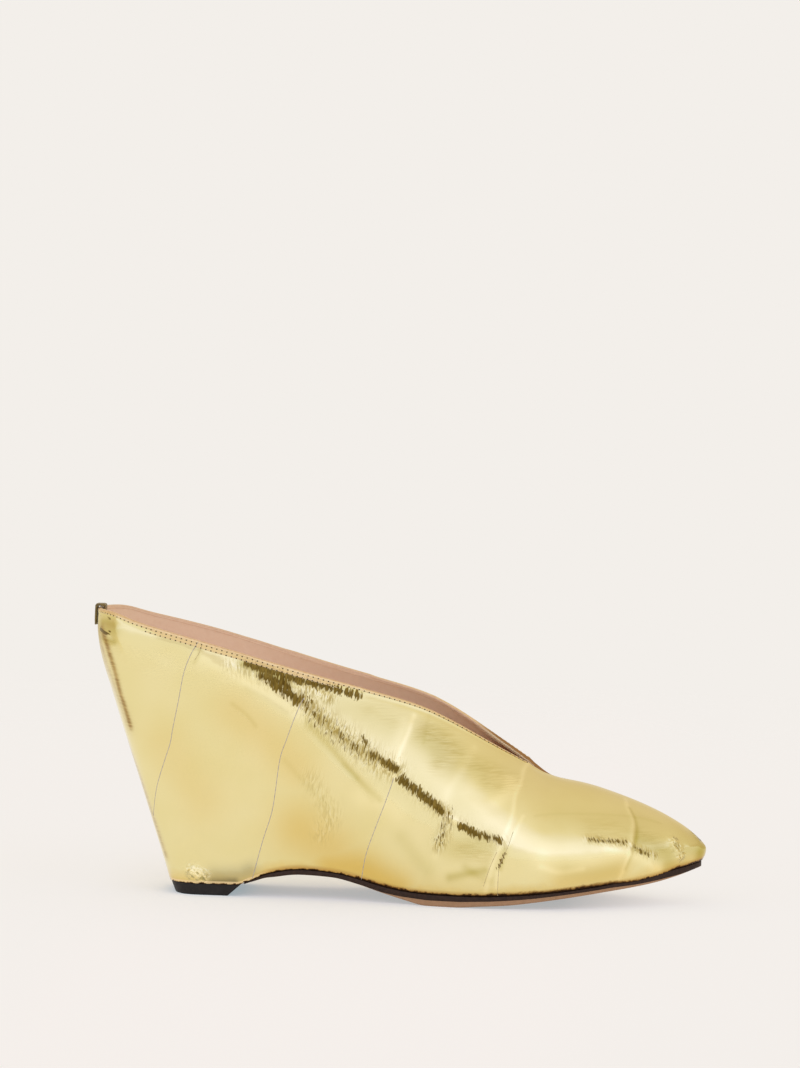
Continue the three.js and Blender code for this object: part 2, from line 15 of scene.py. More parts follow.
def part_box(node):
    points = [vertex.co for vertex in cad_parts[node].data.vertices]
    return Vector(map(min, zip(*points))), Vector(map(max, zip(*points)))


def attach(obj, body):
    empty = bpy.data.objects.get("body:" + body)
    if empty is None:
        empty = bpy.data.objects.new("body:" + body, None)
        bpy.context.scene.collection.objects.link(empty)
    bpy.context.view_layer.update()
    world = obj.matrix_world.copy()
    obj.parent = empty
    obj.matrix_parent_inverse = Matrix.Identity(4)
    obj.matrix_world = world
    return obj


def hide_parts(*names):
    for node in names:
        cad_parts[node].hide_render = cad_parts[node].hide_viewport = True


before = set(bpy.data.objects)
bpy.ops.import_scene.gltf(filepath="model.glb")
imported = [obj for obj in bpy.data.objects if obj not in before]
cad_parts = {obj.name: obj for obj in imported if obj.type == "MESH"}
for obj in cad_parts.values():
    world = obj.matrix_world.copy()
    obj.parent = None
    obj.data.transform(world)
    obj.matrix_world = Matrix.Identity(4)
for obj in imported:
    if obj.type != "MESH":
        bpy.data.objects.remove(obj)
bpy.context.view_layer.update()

# Driving sizes, the same as the CAD model's
LENGTH = 240.8
BALL_WIDTH = 75.0
COLLAR_HEIGHT = 110.3
UPPER_WALL = 1.8
INSOLE_THICK = 2.4
LIFT_HEIGHT = 4.8
LIFT_FRONT = LENGTH * 0.255
LIFT_SLANT_FRONT = 5.5
LIFT_SLANT_BACK = 2.0
LIFT_TAPER = 0.8
WEDGE_END = LENGTH * 0.623
THROAT = LENGTH * 0.746
SOLE_INSET = 0.4
TAB_WIDTH = 6.4
GAP = 0.3
COLLAR_ROUND = 30.0
LIFT_ROUND = 17.0
NOSE_ROUND = 9.0
OVAL = 2.0
SQUARISH = 2.8
CAMBER = 1.0
HOLLOW_SPAN = (0.395 * LENGTH, 0.58 * LENGTH)
INNER_RISE = 1.2
INNER_RISE_FROM = 15.0
INNER_RISE_FULL = 50.0
HEEL_END = LIFT_FRONT + GAP
NOSE_START = LENGTH - 14.8

# Lower edge of the upper and the outsole's underside, shares of LENGTH and COLLAR_HEIGHT
SOLE_LINE = [
    (0.256, 0.048, 0.036),
    (0.272, 0.062, 0.046),
    (0.295, 0.084, 0.067),
    (0.350, 0.103, 0.084),
    (0.400, 0.097, 0.080),
    (0.440, 0.082, 0.062),
    (0.480, 0.061, 0.037),
    (0.520, 0.047, 0.015),
    (0.555, 0.042, 0.000),
    (0.600, 0.041, 0.000),
    (0.640, 0.042, 0.006),
    (0.690, 0.048, 0.014),
    (0.720, 0.052, 0.022),
    (0.750, 0.058, 0.031),
    (0.830, 0.080, 0.056),
    (0.920, 0.117, 0.087),
    (1.000, 0.155, 0.138),
]

# at, centre line, half width at the lower edge outside and inside, half width at the belly outside and
# inside, belly height, outward lean at the lower edge
WIDTHS = [
    (0.000, 0.000, 0.273, 0.273, 0.393, 0.393, 0.940, 5),
    (0.125, 0.000, 0.273, 0.273, 0.391, 0.384, 0.890, 5),
    (0.250, 0.000, 0.280, 0.275, 0.395, 0.364, 0.753, 6),
    (0.332, 0.000, 0.288, 0.267, 0.407, 0.360, 0.635, 8),
    (0.415, 0.000, 0.320, 0.280, 0.427, 0.368, 0.490, 12),
    (0.500, 0.000, 0.383, 0.334, 0.454, 0.395, 0.352, 17),
    (0.582, 0.000, 0.454, 0.400, 0.484, 0.435, 0.245, 24),
    (0.665, 0.003, 0.485, 0.448, 0.514, 0.475, 0.182, 30),
    (0.748, 0.011, 0.461, 0.434, 0.488, 0.460, 0.168, 33),
    (0.830, 0.024, 0.374, 0.342, 0.400, 0.366, 0.181, 35),
    (0.893, 0.036, 0.277, 0.232, 0.303, 0.255, 0.195, 36),
    (0.938, 0.044, 0.190, 0.140, 0.211, 0.159, 0.204, 36),
    (0.976, 0.051, 0.117, 0.063, 0.132, 0.075, 0.208, 34),
    (1.000, 0.053, 0.072, 0.035, 0.083, 0.043, 0.204, 32),
]

# at, height of the collar and then of the vamp's ridge, half width there outside and inside, inward lean
TOP_LINE = [
    (0.000, 1.000, 0.387, 0.387, 2),
    (0.027, 0.999, 0.386, 0.386, 2),
    (0.062, 0.976, 0.385, 0.384, 2),
    (0.125, 0.940, 0.384, 0.379, 3),
    (0.187, 0.904, 0.381, 0.368, 5),
    (0.250, 0.867, 0.371, 0.355, 8),
    (0.332, 0.817, 0.352, 0.333, 14),
    (0.415, 0.770, 0.326, 0.307, 20),
    (0.498, 0.725, 0.301, 0.288, 27),
    (0.540, 0.697, 0.284, 0.277, 31),
    (0.582, 0.655, 0.257, 0.260, 37),
    (0.623, 0.605, 0.217, 0.228, 46),
    (0.665, 0.551, 0.163, 0.181, 57),
    (0.706, 0.499, 0.096, 0.112, 71),
    (0.746, 0.442, 0.000, 0.000, 88),
    (0.800, 0.420, 0.000, 0.000, 90),
    (0.858, 0.382, 0.000, 0.000, 90),
    (0.917, 0.331, 0.000, 0.000, 90),
    (0.947, 0.297, 0.000, 0.000, 90),
    (0.976, 0.257, 0.000, 0.000, 88),
    (1.000, 0.206, 0.000, 0.000, 84),
]
RIDGE_ROW = 14

# Top of the insole
FOOTBED = [
    (0.000, 0.937),
    (0.083, 0.901),
    (0.166, 0.830),
    (0.249, 0.721),
    (0.332, 0.577),
    (0.415, 0.417),
    (0.498, 0.266),
    (0.540, 0.198),
    (0.581, 0.138),
    (0.623, 0.094),
]

# Centre back: how far forward it lies at each height
BACK_LINE = [
    (0.046, 0.1285),
    (0.317, 0.0875),
    (0.595, 0.0445),
    (0.736, 0.023),
    (0.803, 0.012),
    (0.863, 0.005),
    (0.916, 0.001),
    (0.957, 0.000),
    (1.000, 0.001),
]

# How far short of LENGTH the nose ends, from its lower edge to the ridge
NOSE = [(0.00, 1.3), (0.25, 0.3), (0.50, 0.0), (0.75, 0.4), (1.00, 1.8)]

OUT, IN = 0, 1
SIGN = (-1.0, 1.0)
DEG = math.pi / 180


# Smooth curves through the tables

def slopes(xs, ys):
    step = np.diff(ys) / np.diff(xs)
    m = np.zeros(len(xs))
    m[0], m[-1] = step[0], step[-1]
    for i in range(1, len(xs) - 1):
        if step[i - 1] * step[i] > 0:
            before, after = xs[i] - xs[i - 1], xs[i + 1] - xs[i]
            w1, w2 = 2 * after + before, after + 2 * before
            m[i] = (w1 + w2) / (w1 / step[i - 1] + w2 / step[i])
    return m


def curve(xs, ys, blur=0.0):
    """Monotone curve, blurred over a distance with its end values kept, as a function of arrays."""
    xs, ys = np.array(xs, float), np.array(ys, float)
    m = slopes(xs, ys)
    fine_step = (xs[-1] - xs[0]) / 4000
    margin = 4 * blur
    fine = np.arange(xs[0] - margin, xs[-1] + margin + fine_step, fine_step)
    below, above = fine < xs[0], fine > xs[-1]
    folded = np.where(below, 2 * xs[0] - fine, np.where(above, 2 * xs[-1] - fine, fine))
    folded = np.clip(folded, xs[0], xs[-1])
    i = np.clip(np.searchsorted(xs, folded) - 1, 0, len(xs) - 2)
    h = xs[i + 1] - xs[i]
    t = (folded - xs[i]) / h
    rise = ys[i + 1] - ys[i]
    bend = h * (m[i] * (1 - t) - m[i + 1] * t) - rise * (1 - 2 * t)
    values = ys[i] + rise * t + t * (1 - t) * bend
    values = np.where(below, 2 * ys[0] - values, np.where(above, 2 * ys[-1] - values, values))
    if blur:
        reach = int(margin / fine_step)
        kernel = np.exp(-0.5 * (np.arange(-reach, reach + 1) * fine_step / blur) ** 2)
        values = np.convolve(values, kernel / kernel.sum(), mode="same")
        keep = slice(reach, len(fine) - reach)
        fine, values = fine[keep], values[keep]
    return lambda x: np.interp(x, fine, values)


def along(rows, column, scale, blur=0.0):
    return curve([row[0] * LENGTH for row in rows], [row[column] * scale for row in rows], blur)


# How far the curves through the tables are blurred, in millimetres
SHARP, HALF_SOFT, SOFT = 0.8, 3.0, 5.0
sole_top = along(SOLE_LINE, 1, COLLAR_HEIGHT, SHARP)
sole_under = along(SOLE_LINE, 2, COLLAR_HEIGHT, SHARP)
centre_line = along(WIDTHS, 1, BALL_WIDTH, SOFT)
foot_half = [along(WIDTHS, column, BALL_WIDTH, SOFT) for column in (2, 3)]
belly_half = [along(WIDTHS, column, BALL_WIDTH, SOFT) for column in (4, 5)]
belly_high = along(WIDTHS, 6, COLLAR_HEIGHT, SOFT)
foot_lean = along(WIDTHS, 7, DEG, SOFT)
collar_rows = TOP_LINE[: RIDGE_ROW + 1]
top_half = [along(collar_rows, column, BALL_WIDTH, HALF_SOFT) for column in (2, 3)]
top_line = along(TOP_LINE, 1, COLLAR_HEIGHT, HALF_SOFT)
top_lean = along(TOP_LINE, 4, DEG, 4.0)
footbed_line = along(FOOTBED, 1, COLLAR_HEIGHT, HALF_SOFT)
back_line = curve([row[0] * COLLAR_HEIGHT for row in BACK_LINE],
                  [row[1] * LENGTH for row in BACK_LINE], HALF_SOFT)
nose_short = curve([row[0] for row in NOSE], [row[1] for row in NOSE])


def smoothstep(x, low, high):
    t = np.clip((x - low) / (high - low), 0, 1)
    return t * t * (3 - 2 * t)


def between(x, start, full, falling, end):
    """Rises from 0 to 1 and falls back to 0."""
    return smoothstep(x, start, full) * (1 - smoothstep(x, falling, end))


def lower_edge(x):
    return np.where(x < LIFT_FRONT, LIFT_HEIGHT + GAP, sole_top(x) + GAP)


def top_high(side, x):
    if side == OUT:
        return top_line(x)
    risen = between(x, INNER_RISE_FROM, INNER_RISE_FULL, THROAT - INNER_RISE_FULL, THROAT)
    return top_line(x) + INNER_RISE * risen


def cap(distance, radius, exponent):
    q = np.clip(distance / radius, 0, 1)
    return (1 - (1 - q) ** exponent) ** (1 / exponent)


def hermite(p0, d0, p1, d1, t):
    s = 1 - t
    return (s * s * (1 + 2 * t) * p0 + t * s * s * d0
            + t * t * (3 - 2 * t) * p1 - t * t * s * d1)


SECTION_STEPS = 20
BELLY_BELOW_TOP = 3.0


def section(side, x, level):
    """Half width, height and whole arc length of one side's section; even arc length per level."""
    x, level = np.broadcast_arrays(np.asarray(x, float), np.asarray(level, float))
    shape = x.shape
    x, level = x.ravel(), level.ravel()
    foot = np.stack([foot_half[side](x), lower_edge(x)], 1)
    top = np.stack([top_half[side](x), top_high(side, x)], 1)
    belly = np.stack([belly_half[side](x), np.minimum(belly_high(x), top[:, 1] - BELLY_BELOW_TOP)], 1)
    low = np.linalg.norm(belly - foot, axis=1)
    high = np.linalg.norm(top - belly, axis=1)
    foot_way = np.stack([low * np.sin(foot_lean(x)), low * np.cos(foot_lean(x))], 1)
    top_way = np.stack([-high * np.sin(top_lean(x)), high * np.cos(top_lean(x))], 1)
    low_way = np.stack([0 * low, low], 1)
    high_way = np.stack([0 * high, high], 1)

    def place(p):
        t = p[..., None] % 1.0
        lower = hermite(foot[:, None], foot_way[:, None], belly[:, None], low_way[:, None], t)
        upper = hermite(belly[:, None], high_way[:, None], top[:, None], top_way[:, None], t)
        at = np.where(p[..., None] < 1, lower, upper)
        return np.where(p[..., None] >= 2, top[:, None], at)

    steps = np.linspace(0, 2, 2 * SECTION_STEPS + 1)
    line = place(np.broadcast_to(steps, (len(x), len(steps))))
    reach = np.cumsum(np.linalg.norm(np.diff(line, axis=1), axis=2), axis=1)
    reach = np.concatenate([np.zeros((len(x), 1)), reach], 1)
    wanted = level * reach[:, -1]
    i = np.clip((reach < wanted[:, None]).sum(1) - 1, 0, len(steps) - 2)
    rows = np.arange(len(x))
    share = (wanted - reach[rows, i]) / (reach[rows, i + 1] - reach[rows, i])
    p = (steps[i] + np.clip(share, 0, 1) * (steps[1] - steps[0]))[:, None]
    point = place(p)[:, 0]
    return point[:, 0].reshape(shape), point[:, 1].reshape(shape), reach[:, -1].reshape(shape)


def starts():
    """Where each level starts at the centre back, as a function of the level."""
    levels = np.linspace(0, 1, 201)
    x = back_line(COLLAR_HEIGHT * levels)
    for _ in range(4):
        x = back_line(section(OUT, x, levels)[1])
    return lambda level: np.interp(level, levels, x)


start_of = starts()


def end_of(level):
    return LENGTH - nose_short(level)


def surface(side, x, level):
    """Points of the outer skin, before any creases, at places along the shoe and levels up its side."""
    x, level = np.broadcast_arrays(np.asarray(x, float), np.asarray(level, float))
    half, high, _ = section(side, x, level)
    round_back = LIFT_ROUND + (COLLAR_ROUND - LIFT_ROUND) * level
    exponent = SQUARISH + (OVAL - SQUARISH) * level
    width = half * cap(x - start_of(level), round_back, exponent)
    width = width * cap(end_of(level) - x, NOSE_ROUND, OVAL)
    return np.stack([x, centre_line(x) + SIGN[side] * width, high], -1)


def stations(heel, middle, nose):
    """Places along the shoe, closer together where the plan turns at heel and toe."""
    back = HEEL_END * (1 - np.cos(np.pi / 2 * np.arange(heel) / heel))
    flank = np.linspace(HEEL_END, NOSE_START, middle + 1)
    front = NOSE_START + (LENGTH - NOSE_START) * np.sin(np.pi / 2 * np.arange(1, nose + 1) / nose)
    return np.concatenate([back, flank, front])


# How high the collar's rolled edge stands over the skin
ROLL = 0.8


def top_level(side, x):
    """Level at which the skin turns over into the collar's rolled edge; 1 along the ridge."""
    reach = section(side, x, np.ones_like(x))[2]
    return 1 - ROLL * smoothstep(THROAT - x, 0, 4) / reach


def skin_grid(heel, middle, nose, levels):
    """Outer skin as a grid of levels by stations, round the whole shoe: out along the outer side from
    the centre back to the nose, and back along the inner side."""
    station = stations(heel, middle, nose)
    sides = []
    for side in (OUT, IN):
        share = np.linspace(0, 1, levels + 1)[:, None]
        level = share * top_level(side, station)[None, :]
        start, end = start_of(level), end_of(level)
        x = np.broadcast_to(station[None, :], level.shape).copy()
        back = station < HEEL_END
        x[:, back] = (start + station * (HEEL_END - start) / HEEL_END)[:, back]
        front = station > NOSE_START
        x[:, front] = (NOSE_START + (station - NOSE_START) * (end - NOSE_START)
                       / (LENGTH - NOSE_START))[:, front]
        sides.append((surface(side, x, level), level))
    for i in (0, -1):
        mean = (sides[OUT][0][:, i] + sides[IN][0][:, i]) / 2
        sides[OUT][0][:, i] = mean
        sides[IN][0][:, i] = mean
    loop = np.concatenate([sides[OUT][0], sides[IN][0][:, -2:0:-1]], 1)
    level = np.concatenate([sides[OUT][1], sides[IN][1][:, -2:0:-1]], 1)
    along_shoe = np.concatenate([station, station[-2:0:-1]])
    outside = np.arange(loop.shape[1]) < len(station)
    return loop, level, along_shoe, outside


def normals(grid, along_shoe):
    """Unit outward normals of the grid; beyond the throat the top row looks across the ridge."""
    count = grid.shape[1]
    forward = np.roll(grid, -1, 1) - np.roll(grid, 1, 1)
    up = np.empty_like(grid)
    up[1:-1] = grid[2:] - grid[:-2]
    up[0] = grid[1] - grid[0]
    up[-1] = grid[-1] - grid[-2]
    twin = (-np.arange(count)) % count
    ridge = along_shoe >= THROAT
    up[-1, ridge] = (grid[-2, twin] - grid[-2])[ridge]
    way = np.cross(forward, up)
    length = np.linalg.norm(way, axis=2, keepdims=True)
    return way / np.maximum(length, 1e-9)


# Where the shoe's own millimetres lie in the frame
SIDEWAYS = 1.196
SHIFT = np.array([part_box("upper")[1].x * 1000 - LENGTH, SIDEWAYS, 0.0])


def to_frame(points):
    return (np.asarray(points, float) + SHIFT) / 1000


# Mesh and material helpers

def mesh_piece(name, points, faces, materials, node, covers=True, marks=None):
    """A smooth piece with its own materials, attached to the root body; it hides the CAD node where it
    covers it.
    """
    mesh = bpy.data.meshes.new(name)
    mesh.from_pydata(to_frame(points).tolist(), [], faces)
    for key, values in (marks or {}).items():
        layer = mesh.attributes.new(key, "FLOAT", "POINT")
        layer.data.foreach_set("value", np.asarray(values, np.float32).ravel())
    for material in materials:
        mesh.materials.append(material)
    mesh.polygons.foreach_set("use_smooth", [True] * len(mesh.polygons))
    mesh.update()
    piece = bpy.data.objects.new(name, mesh)
    bpy.context.scene.collection.objects.link(piece)
    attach(piece, "root")
    if covers:
        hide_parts(node)
    return piece


def grid_faces(rows, columns, closed, flip=False, first=0):
    """Quads between the rows of a grid, whose columns close into a ring when asked."""
    faces = []
    for k in range(rows - 1):
        for j in range(columns if closed else columns - 1):
            low, high = first + k * columns, first + (k + 1) * columns
            n = (j + 1) % columns
            face = [low + j, low + n, high + n, high + j]
            faces.append(face[::-1] if flip else face)
    return faces


def circle(centre, first_way, second_way, count):
    turns = np.linspace(0, 2 * math.pi, count + 1)[:-1]
    return [centre + first_way * math.cos(turn) + second_way * math.sin(turn) for turn in turns]


class Nodes:
    """A node tree, with one call for each node."""

    def __init__(self, tree):
        self.tree = tree

    def node(self, kind, values=(), **settings):
        made = self.tree.nodes.new("ShaderNode" + kind)
        for key, value in settings.items():
            setattr(made, key, value)
        for key, value in dict(values).items():
            self.put(made.inputs[key], value)
        return made

    def put(self, socket, value):
        if isinstance(value, bpy.types.NodeSocket):
            self.tree.links.new(value, socket)
        elif socket.type == "RGBA" and len(value) == 3:
            socket.default_value = (*value, 1)
        else:
            socket.default_value = value

    def math(self, operation, a, b=0.0, c=0.0):
        return self.node("Math", {0: a, 1: b, 2: c}, operation=operation).outputs[0]

    def times(self, a, b):
        return self.math("MULTIPLY", a, b)

    def mix(self, share, a, b, blend="MIX"):
        made = self.node("Mix", {"Factor": share}, data_type="RGBA", blend_type=blend, clamp_result=False)
        self.put(made.inputs["A"], a)
        self.put(made.inputs["B"], b)
        return made.outputs["Result"]

    def ramp(self, value, stops):
        made = self.node("ValToRGB", {"Fac": value})
        elements = made.color_ramp.elements
        while len(elements) < len(stops):
            elements.new(0.5)
        for element, (at, tone) in zip(elements, stops):
            element.position = at
            element.color = (*tone, 1)
        return made.outputs["Color"]

    def span(self, value, low, high, to_low=0.0, to_high=1.0):
        made = self.node("MapRange", {"Value": value, "From Min": low, "From Max": high,
                                      "To Min": to_low, "To Max": to_high})
        return made.outputs["Result"]

    def mark(self, name):
        return self.node("Attribute", attribute_name=name).outputs["Fac"]

    def place(self, turn=(0, 0, 0), scale=(1, 1, 1)):
        """The piece's own millimetres, turned and scaled."""
        where = self.node("TexCoord").outputs["Object"]
        made = self.node("Mapping", {"Vector": where, "Rotation": turn,
                                     "Scale": [1000 * value for value in scale]})
        return made.outputs["Vector"]

    def noise(self, where, scale, detail=2.0, rough=0.5, distortion=0.0):
        made = self.node("TexNoise", {"Vector": where, "Scale": scale, "Detail": detail,
                                      "Roughness": rough, "Distortion": distortion})
        return made.outputs["Fac"]

    def bump(self, height, strength, distance, normal=None):
        made = self.node("Bump", {"Height": height, "Strength": strength, "Distance": distance})
        if normal is not None:
            self.put(made.inputs["Normal"], normal)
        return made.outputs["Normal"]


class Shader(Nodes):
    """A material with its node tree."""

    def __init__(self, name):
        self.material = bpy.data.materials.new(name)
        self.material.use_nodes = True
        super().__init__(self.material.node_tree)
        self.base = self.tree.nodes["Principled BSDF"]
        self.output = self.tree.nodes["Material Output"]

    def finish(self, **values):
        for key, value in values.items():
            self.put(self.base.inputs[key.replace("_", " ")], value)
        return self.material


# Tones of the foil, of what lies on it, and of the reflections, highlights and shade painted into it
GOLD, LIGHT_GOLD = (0.88, 0.775, 0.38), (0.91, 0.81, 0.43)
# Painted orange reflection, near the sole and along the orange reflection marks
ORANGE_GOLD = (0.80, 0.56, 0.14)
# Painted duller reflection
KHAKI_GOLD = (0.70, 0.58, 0.23)
# Cracks with painted shade in the troughs of the fine wrinkles, and a painted highlight on their crests
CRACK_AND_SHADE, GLINT = (0.40, 0.28, 0.05), (0.98, 0.92, 0.62)
BACK_BROWN_TONE, SCRATCH = (0.50, 0.32, 0.08), (0.30, 0.17, 0.035)
# Painted shade in the hollows of the crumpled spots
CRUMPLE_SHADE = (0.45, 0.37, 0.12)
GREY_OLIVE = (0.17, 0.15, 0.085)
# Painted dark reflections along the crest, deeper and dimmer
DARK_REFLECTION, DIM_REFLECTION = (0.10, 0.06, 0.010), (0.25, 0.165, 0.03)
CUT_RIM = (0.84, 0.60, 0.29)
# A painted brown reflection of the sole's dark edge, just above it
SOLE_REFLECTION_BROWN, HEM = (0.48, 0.25, 0.06), (0.95, 0.72, 0.40)
WORN_PAINT, EDGE_PAINT = (0.20, 0.085, 0.018), (0.04, 0.018, 0.008)


def foil_hair(s):
    """Fine wrinkles across the crest, from its own distances; on the toe they stand upright."""
    gap = s.mark("crest_gap")
    slanted = s.math("MULTIPLY_ADD", gap, 0.50, s.mark("crest_run"))
    across = s.node("CombineXYZ", {"X": s.times(slanted, 1.15), "Y": s.times(gap, 0.26)}).outputs[0]
    crest_hair = s.noise(across, 1.0, 2.0, 0.55, 0.5)
    toe_hair = s.noise(s.place((0, 0.2, 0), (1.3, 0.1, 0.28)), 1.0, 2.0, 0.55, 0.5)
    hair = s.mix(s.span(gap, 42.0, 46.0), crest_hair, toe_hair)
    return s.node("SeparateColor", {"Color": hair}).outputs[0]


def foil_edges(s, where):
    """Shares and tones along the rim and the sole: the cut rim, a painted brown reflection of the sole's
    dark edge, the hem and the edge paint.
    """
    from_sole, hem = s.mark("from_sole"), s.mark("hem")
    rim = s.span(s.math("SUBTRACT", s.mark("from_rim"), s.mark("double")), 0.9, 1.3, 0.75, 0.0)
    ragged = s.math("ADD", s.span(s.noise(where, 0.40, 4.0, 0.7), 0.3, 0.7, -0.55, 0.55), from_sole)
    crept = s.math("DIVIDE", ragged, s.mark("fringe"))
    # Painted brown reflection of the sole's dark edge, just above the sole, apart from the hem
    sole_reflection = s.times(s.span(from_sole, 0.5, 2.0, 0.7, 0.0), s.math("SUBTRACT", 1.0, hem))
    hemmed = s.times(s.span(from_sole, 0.9, 1.2, 0.75, 0.0), hem)
    return [(rim, CUT_RIM), (sole_reflection, SOLE_REFLECTION_BROWN), (hemmed, HEM), (s.span(crept, 0.6, 1.4, 0.9, 0.0), WORN_PAINT),
            (s.span(crept, 0.35, 0.75, 1.0, 0.0), EDGE_PAINT)]


def foil():
    s = Shader("gold_foil")
    where, hair = s.place(), foil_hair(s)
    fray, khaki, crinkle, dark = s.mark("fray"), s.mark("khaki"), s.mark("crinkle"), s.mark("dark")
    streaks = s.noise(s.place((0, 0.12, 0), (0.14, 0.14, 1.6)), 1.0, 3.0, 0.6, 0.4)
    crumple = s.noise(where, 0.55, 1.5)
    dents = s.noise(where, 0.20)
    normal = s.bump(s.noise(where, 0.05), 0.5, 0.0009)
    normal = s.bump(dents, 0.5, 0.00010, normal)
    normal = s.bump(s.noise(where, 1.1, 3.0, 0.6), 0.5, 0.00002, normal)
    normal = s.bump(s.times(streaks, s.math("ADD", khaki, 0.02)), 0.5, 0.00018, normal)
    normal = s.bump(s.times(crumple, crinkle), 1.0, 0.0026, normal)
    normal = s.bump(s.times(hair, fray), 1.0, 0.0010, normal)

    colour = s.mix(s.span(s.noise(where, 0.035), 0.35, 0.65), GOLD, LIGHT_GOLD)
    # Painted reflection of the shaded floor: deeper orange gold within about seven millimetres of the sole,
    # and along the orange reflection marks
    low = s.span(s.math("MULTIPLY_ADD", dents, 3.0, s.mark("from_sole")), 1.5, 7.0, 0.8, 0.0)
    colour = s.mix(s.math("MAXIMUM", low, s.mark("orange_reflection")), colour, ORANGE_GOLD)
    # Painted duller khaki reflection, streaked along the shoe
    colour = s.mix(s.times(khaki, s.span(streaks, 0.38, 0.62, 0.9, 0.2)), colour, KHAKI_GOLD)
    # Painted highlights and darker reflections from the shades and the creases' tones; the darker, the
    # yellower
    tone = s.mark("tone")
    shades = s.node("CombineColor", {"Red": s.math("ADD", tone, 1.0),
                                     "Green": s.math("MULTIPLY_ADD", tone, 1.1, 1.0),
                                     "Blue": s.math("MULTIPLY_ADD", tone, 1.9, 1.0)}).outputs[0]
    colour = s.mix(1.0, colour, shades, "MULTIPLY")
    back_brown = s.mark("back_brown")
    ragged = s.math("MULTIPLY_ADD", s.span(hair, 0.30, 0.70, -0.45, 0.45), s.span(dark, 0.0, 0.2), dark)
    layers = [
        # Cracks and painted shade in the wrinkles' troughs, and painted highlights on their crests
        (s.times(fray, s.span(hair, 0.40, 0.52, 0.85, 0.0)), CRACK_AND_SHADE),
        (s.times(fray, s.span(hair, 0.55, 0.66, 0.0, 0.9)), GLINT),
        (s.times(back_brown, 0.85), BACK_BROWN_TONE),
        (s.times(back_brown, s.span(streaks, 0.38, 0.62, 0.0, 0.8)), SCRATCH),
        # Painted shade in the crumples' hollows
        (s.times(crinkle, s.span(crumple, 0.38, 0.46, 0.8, 0.0)), CRUMPLE_SHADE),
        (s.times(s.mark("heel_grey"), 0.85), GREY_OLIVE),
        # Painted dark reflections along the crest, ragged by the fine wrinkles
        (s.span(ragged, 0.40, 0.62), s.mix(s.span(hair, 0.35, 0.65), DARK_REFLECTION, DIM_REFLECTION)),
        *foil_edges(s, where),
    ]
    for share, over in layers:
        colour = s.mix(share, colour, over)
    rough = s.span(s.noise(where, 0.25, 4.0, 0.6), 0.3, 0.7, 0.06, 0.13)
    return s.finish(Base_Color=colour, Metallic=1.0, Roughness=rough, Normal=normal)


def plain(name, tone, other, rough, scale=0.5, metallic=0.0, shine=0.5, throat=None):
    """Two tones in a fine grain, with a third tone where the piece carries the throat mark."""
    s = Shader(name)
    grain = s.noise(s.place(), scale, 4.0, 0.6)
    colour = s.mix(s.span(grain, 0.3, 0.7), tone, other)
    if throat:
        colour = s.mix(s.mark("throat"), colour, throat)
    return s.finish(Base_Color=colour, Metallic=metallic, Roughness=rough, Specular_IOR_Level=shine,
                    Normal=s.bump(grain, 0.4, 0.0003))


foil_material = foil()
# Towards the throat the lining is painted darker, as shade
lining_material = plain("nude_lining", (0.86, 0.64, 0.44), (0.90, 0.69, 0.49), 0.6,
                        throat=(0.30, 0.13, 0.05))
edge_material = plain("dark_sole_edge", (0.022, 0.010, 0.006), (0.045, 0.022, 0.012), 0.5, shine=0.2)
sole_material = plain("tan_sole", (0.36, 0.20, 0.10), (0.42, 0.24, 0.13), 0.5, shine=0.3)
rubber_material = plain("black_rubber", (0.014, 0.011, 0.009), (0.024, 0.019, 0.016), 0.6, shine=0.25)
insole_material = plain("nude_sock", (0.72, 0.50, 0.36), (0.78, 0.56, 0.41), 0.55, 1.5)
tab_material = plain("dark_tape", (0.06, 0.042, 0.014), (0.26, 0.185, 0.05), 0.35, 1.2, shine=0.3)
# Towards the throat the binding is painted lighter, as a highlight
binding_material = plain("peach_binding", (0.72, 0.47, 0.28), (0.80, 0.56, 0.36), 0.4, 1.2,
                         throat=(1.0, 0.86, 0.55))
# Towards the throat the collar fold is painted darker, as shade
fold_material = plain("collar_fold_foil", (0.80, 0.55, 0.30), (0.90, 0.70, 0.42), 0.28, 1.0,
                      metallic=0.9, throat=(0.36, 0.19, 0.07))
seam_material = plain("cut_edge", (0.36, 0.31, 0.27), (0.50, 0.45, 0.40), 0.5, 1.2)
fine_seam_material = plain("fine_seam", (0.40, 0.29, 0.12), (0.55, 0.42, 0.20), 0.5, 1.2)
# Needle holes are dark discs: painted shade standing for the holes' depth
hole_material = plain("needle_hole", (0.05, 0.032, 0.01), (0.09, 0.06, 0.02), 0.7, 2.0)
thread_material = plain("gold_thread", (0.80, 0.58, 0.28), (0.88, 0.68, 0.38), 0.45, 4.0)
core_material = plain("wedge_core", (0.46, 0.33, 0.2), (0.5, 0.36, 0.24), 0.85)

# Lines on the skin, as places along the shoe in millimetres and levels up the side in thousandths. Those
# along the shoe run towards the toe, so their plus side is above; seams run down, so theirs is the
# toe's side.
CREST = [(40, 1000), (54, 973), (65, 943), (74, 905), (84, 853), (93, 795), (101, 738), (109, 677),
         (115, 640), (120, 605), (127, 545), (137, 463), (147, 400), (155, 355), (163, 325), (175, 330),
         (188, 350), (200, 345), (210, 338), (217, 285), (223, 230), (232, 200)]
SEAM_1 = [(43, 1000), (42, 975), (40, 932), (37.5, 853), (35.5, 733), (33.5, 623), (32.5, 560),
          (30.5, 492), (27, 370), (25, 245)]
SEAM_2 = [(84.5, 870), (83, 830), (81, 760), (78, 647), (75.5, 545), (72.8, 307), (69, 160), (65, 0)]
SEAM_3 = [(127, 930), (126, 878), (125.2, 830), (122.2, 710), (121, 630), (120.2, 575), (119.2, 527),
          (116.8, 427), (113.2, 288), (109.8, 140), (108, 0)]
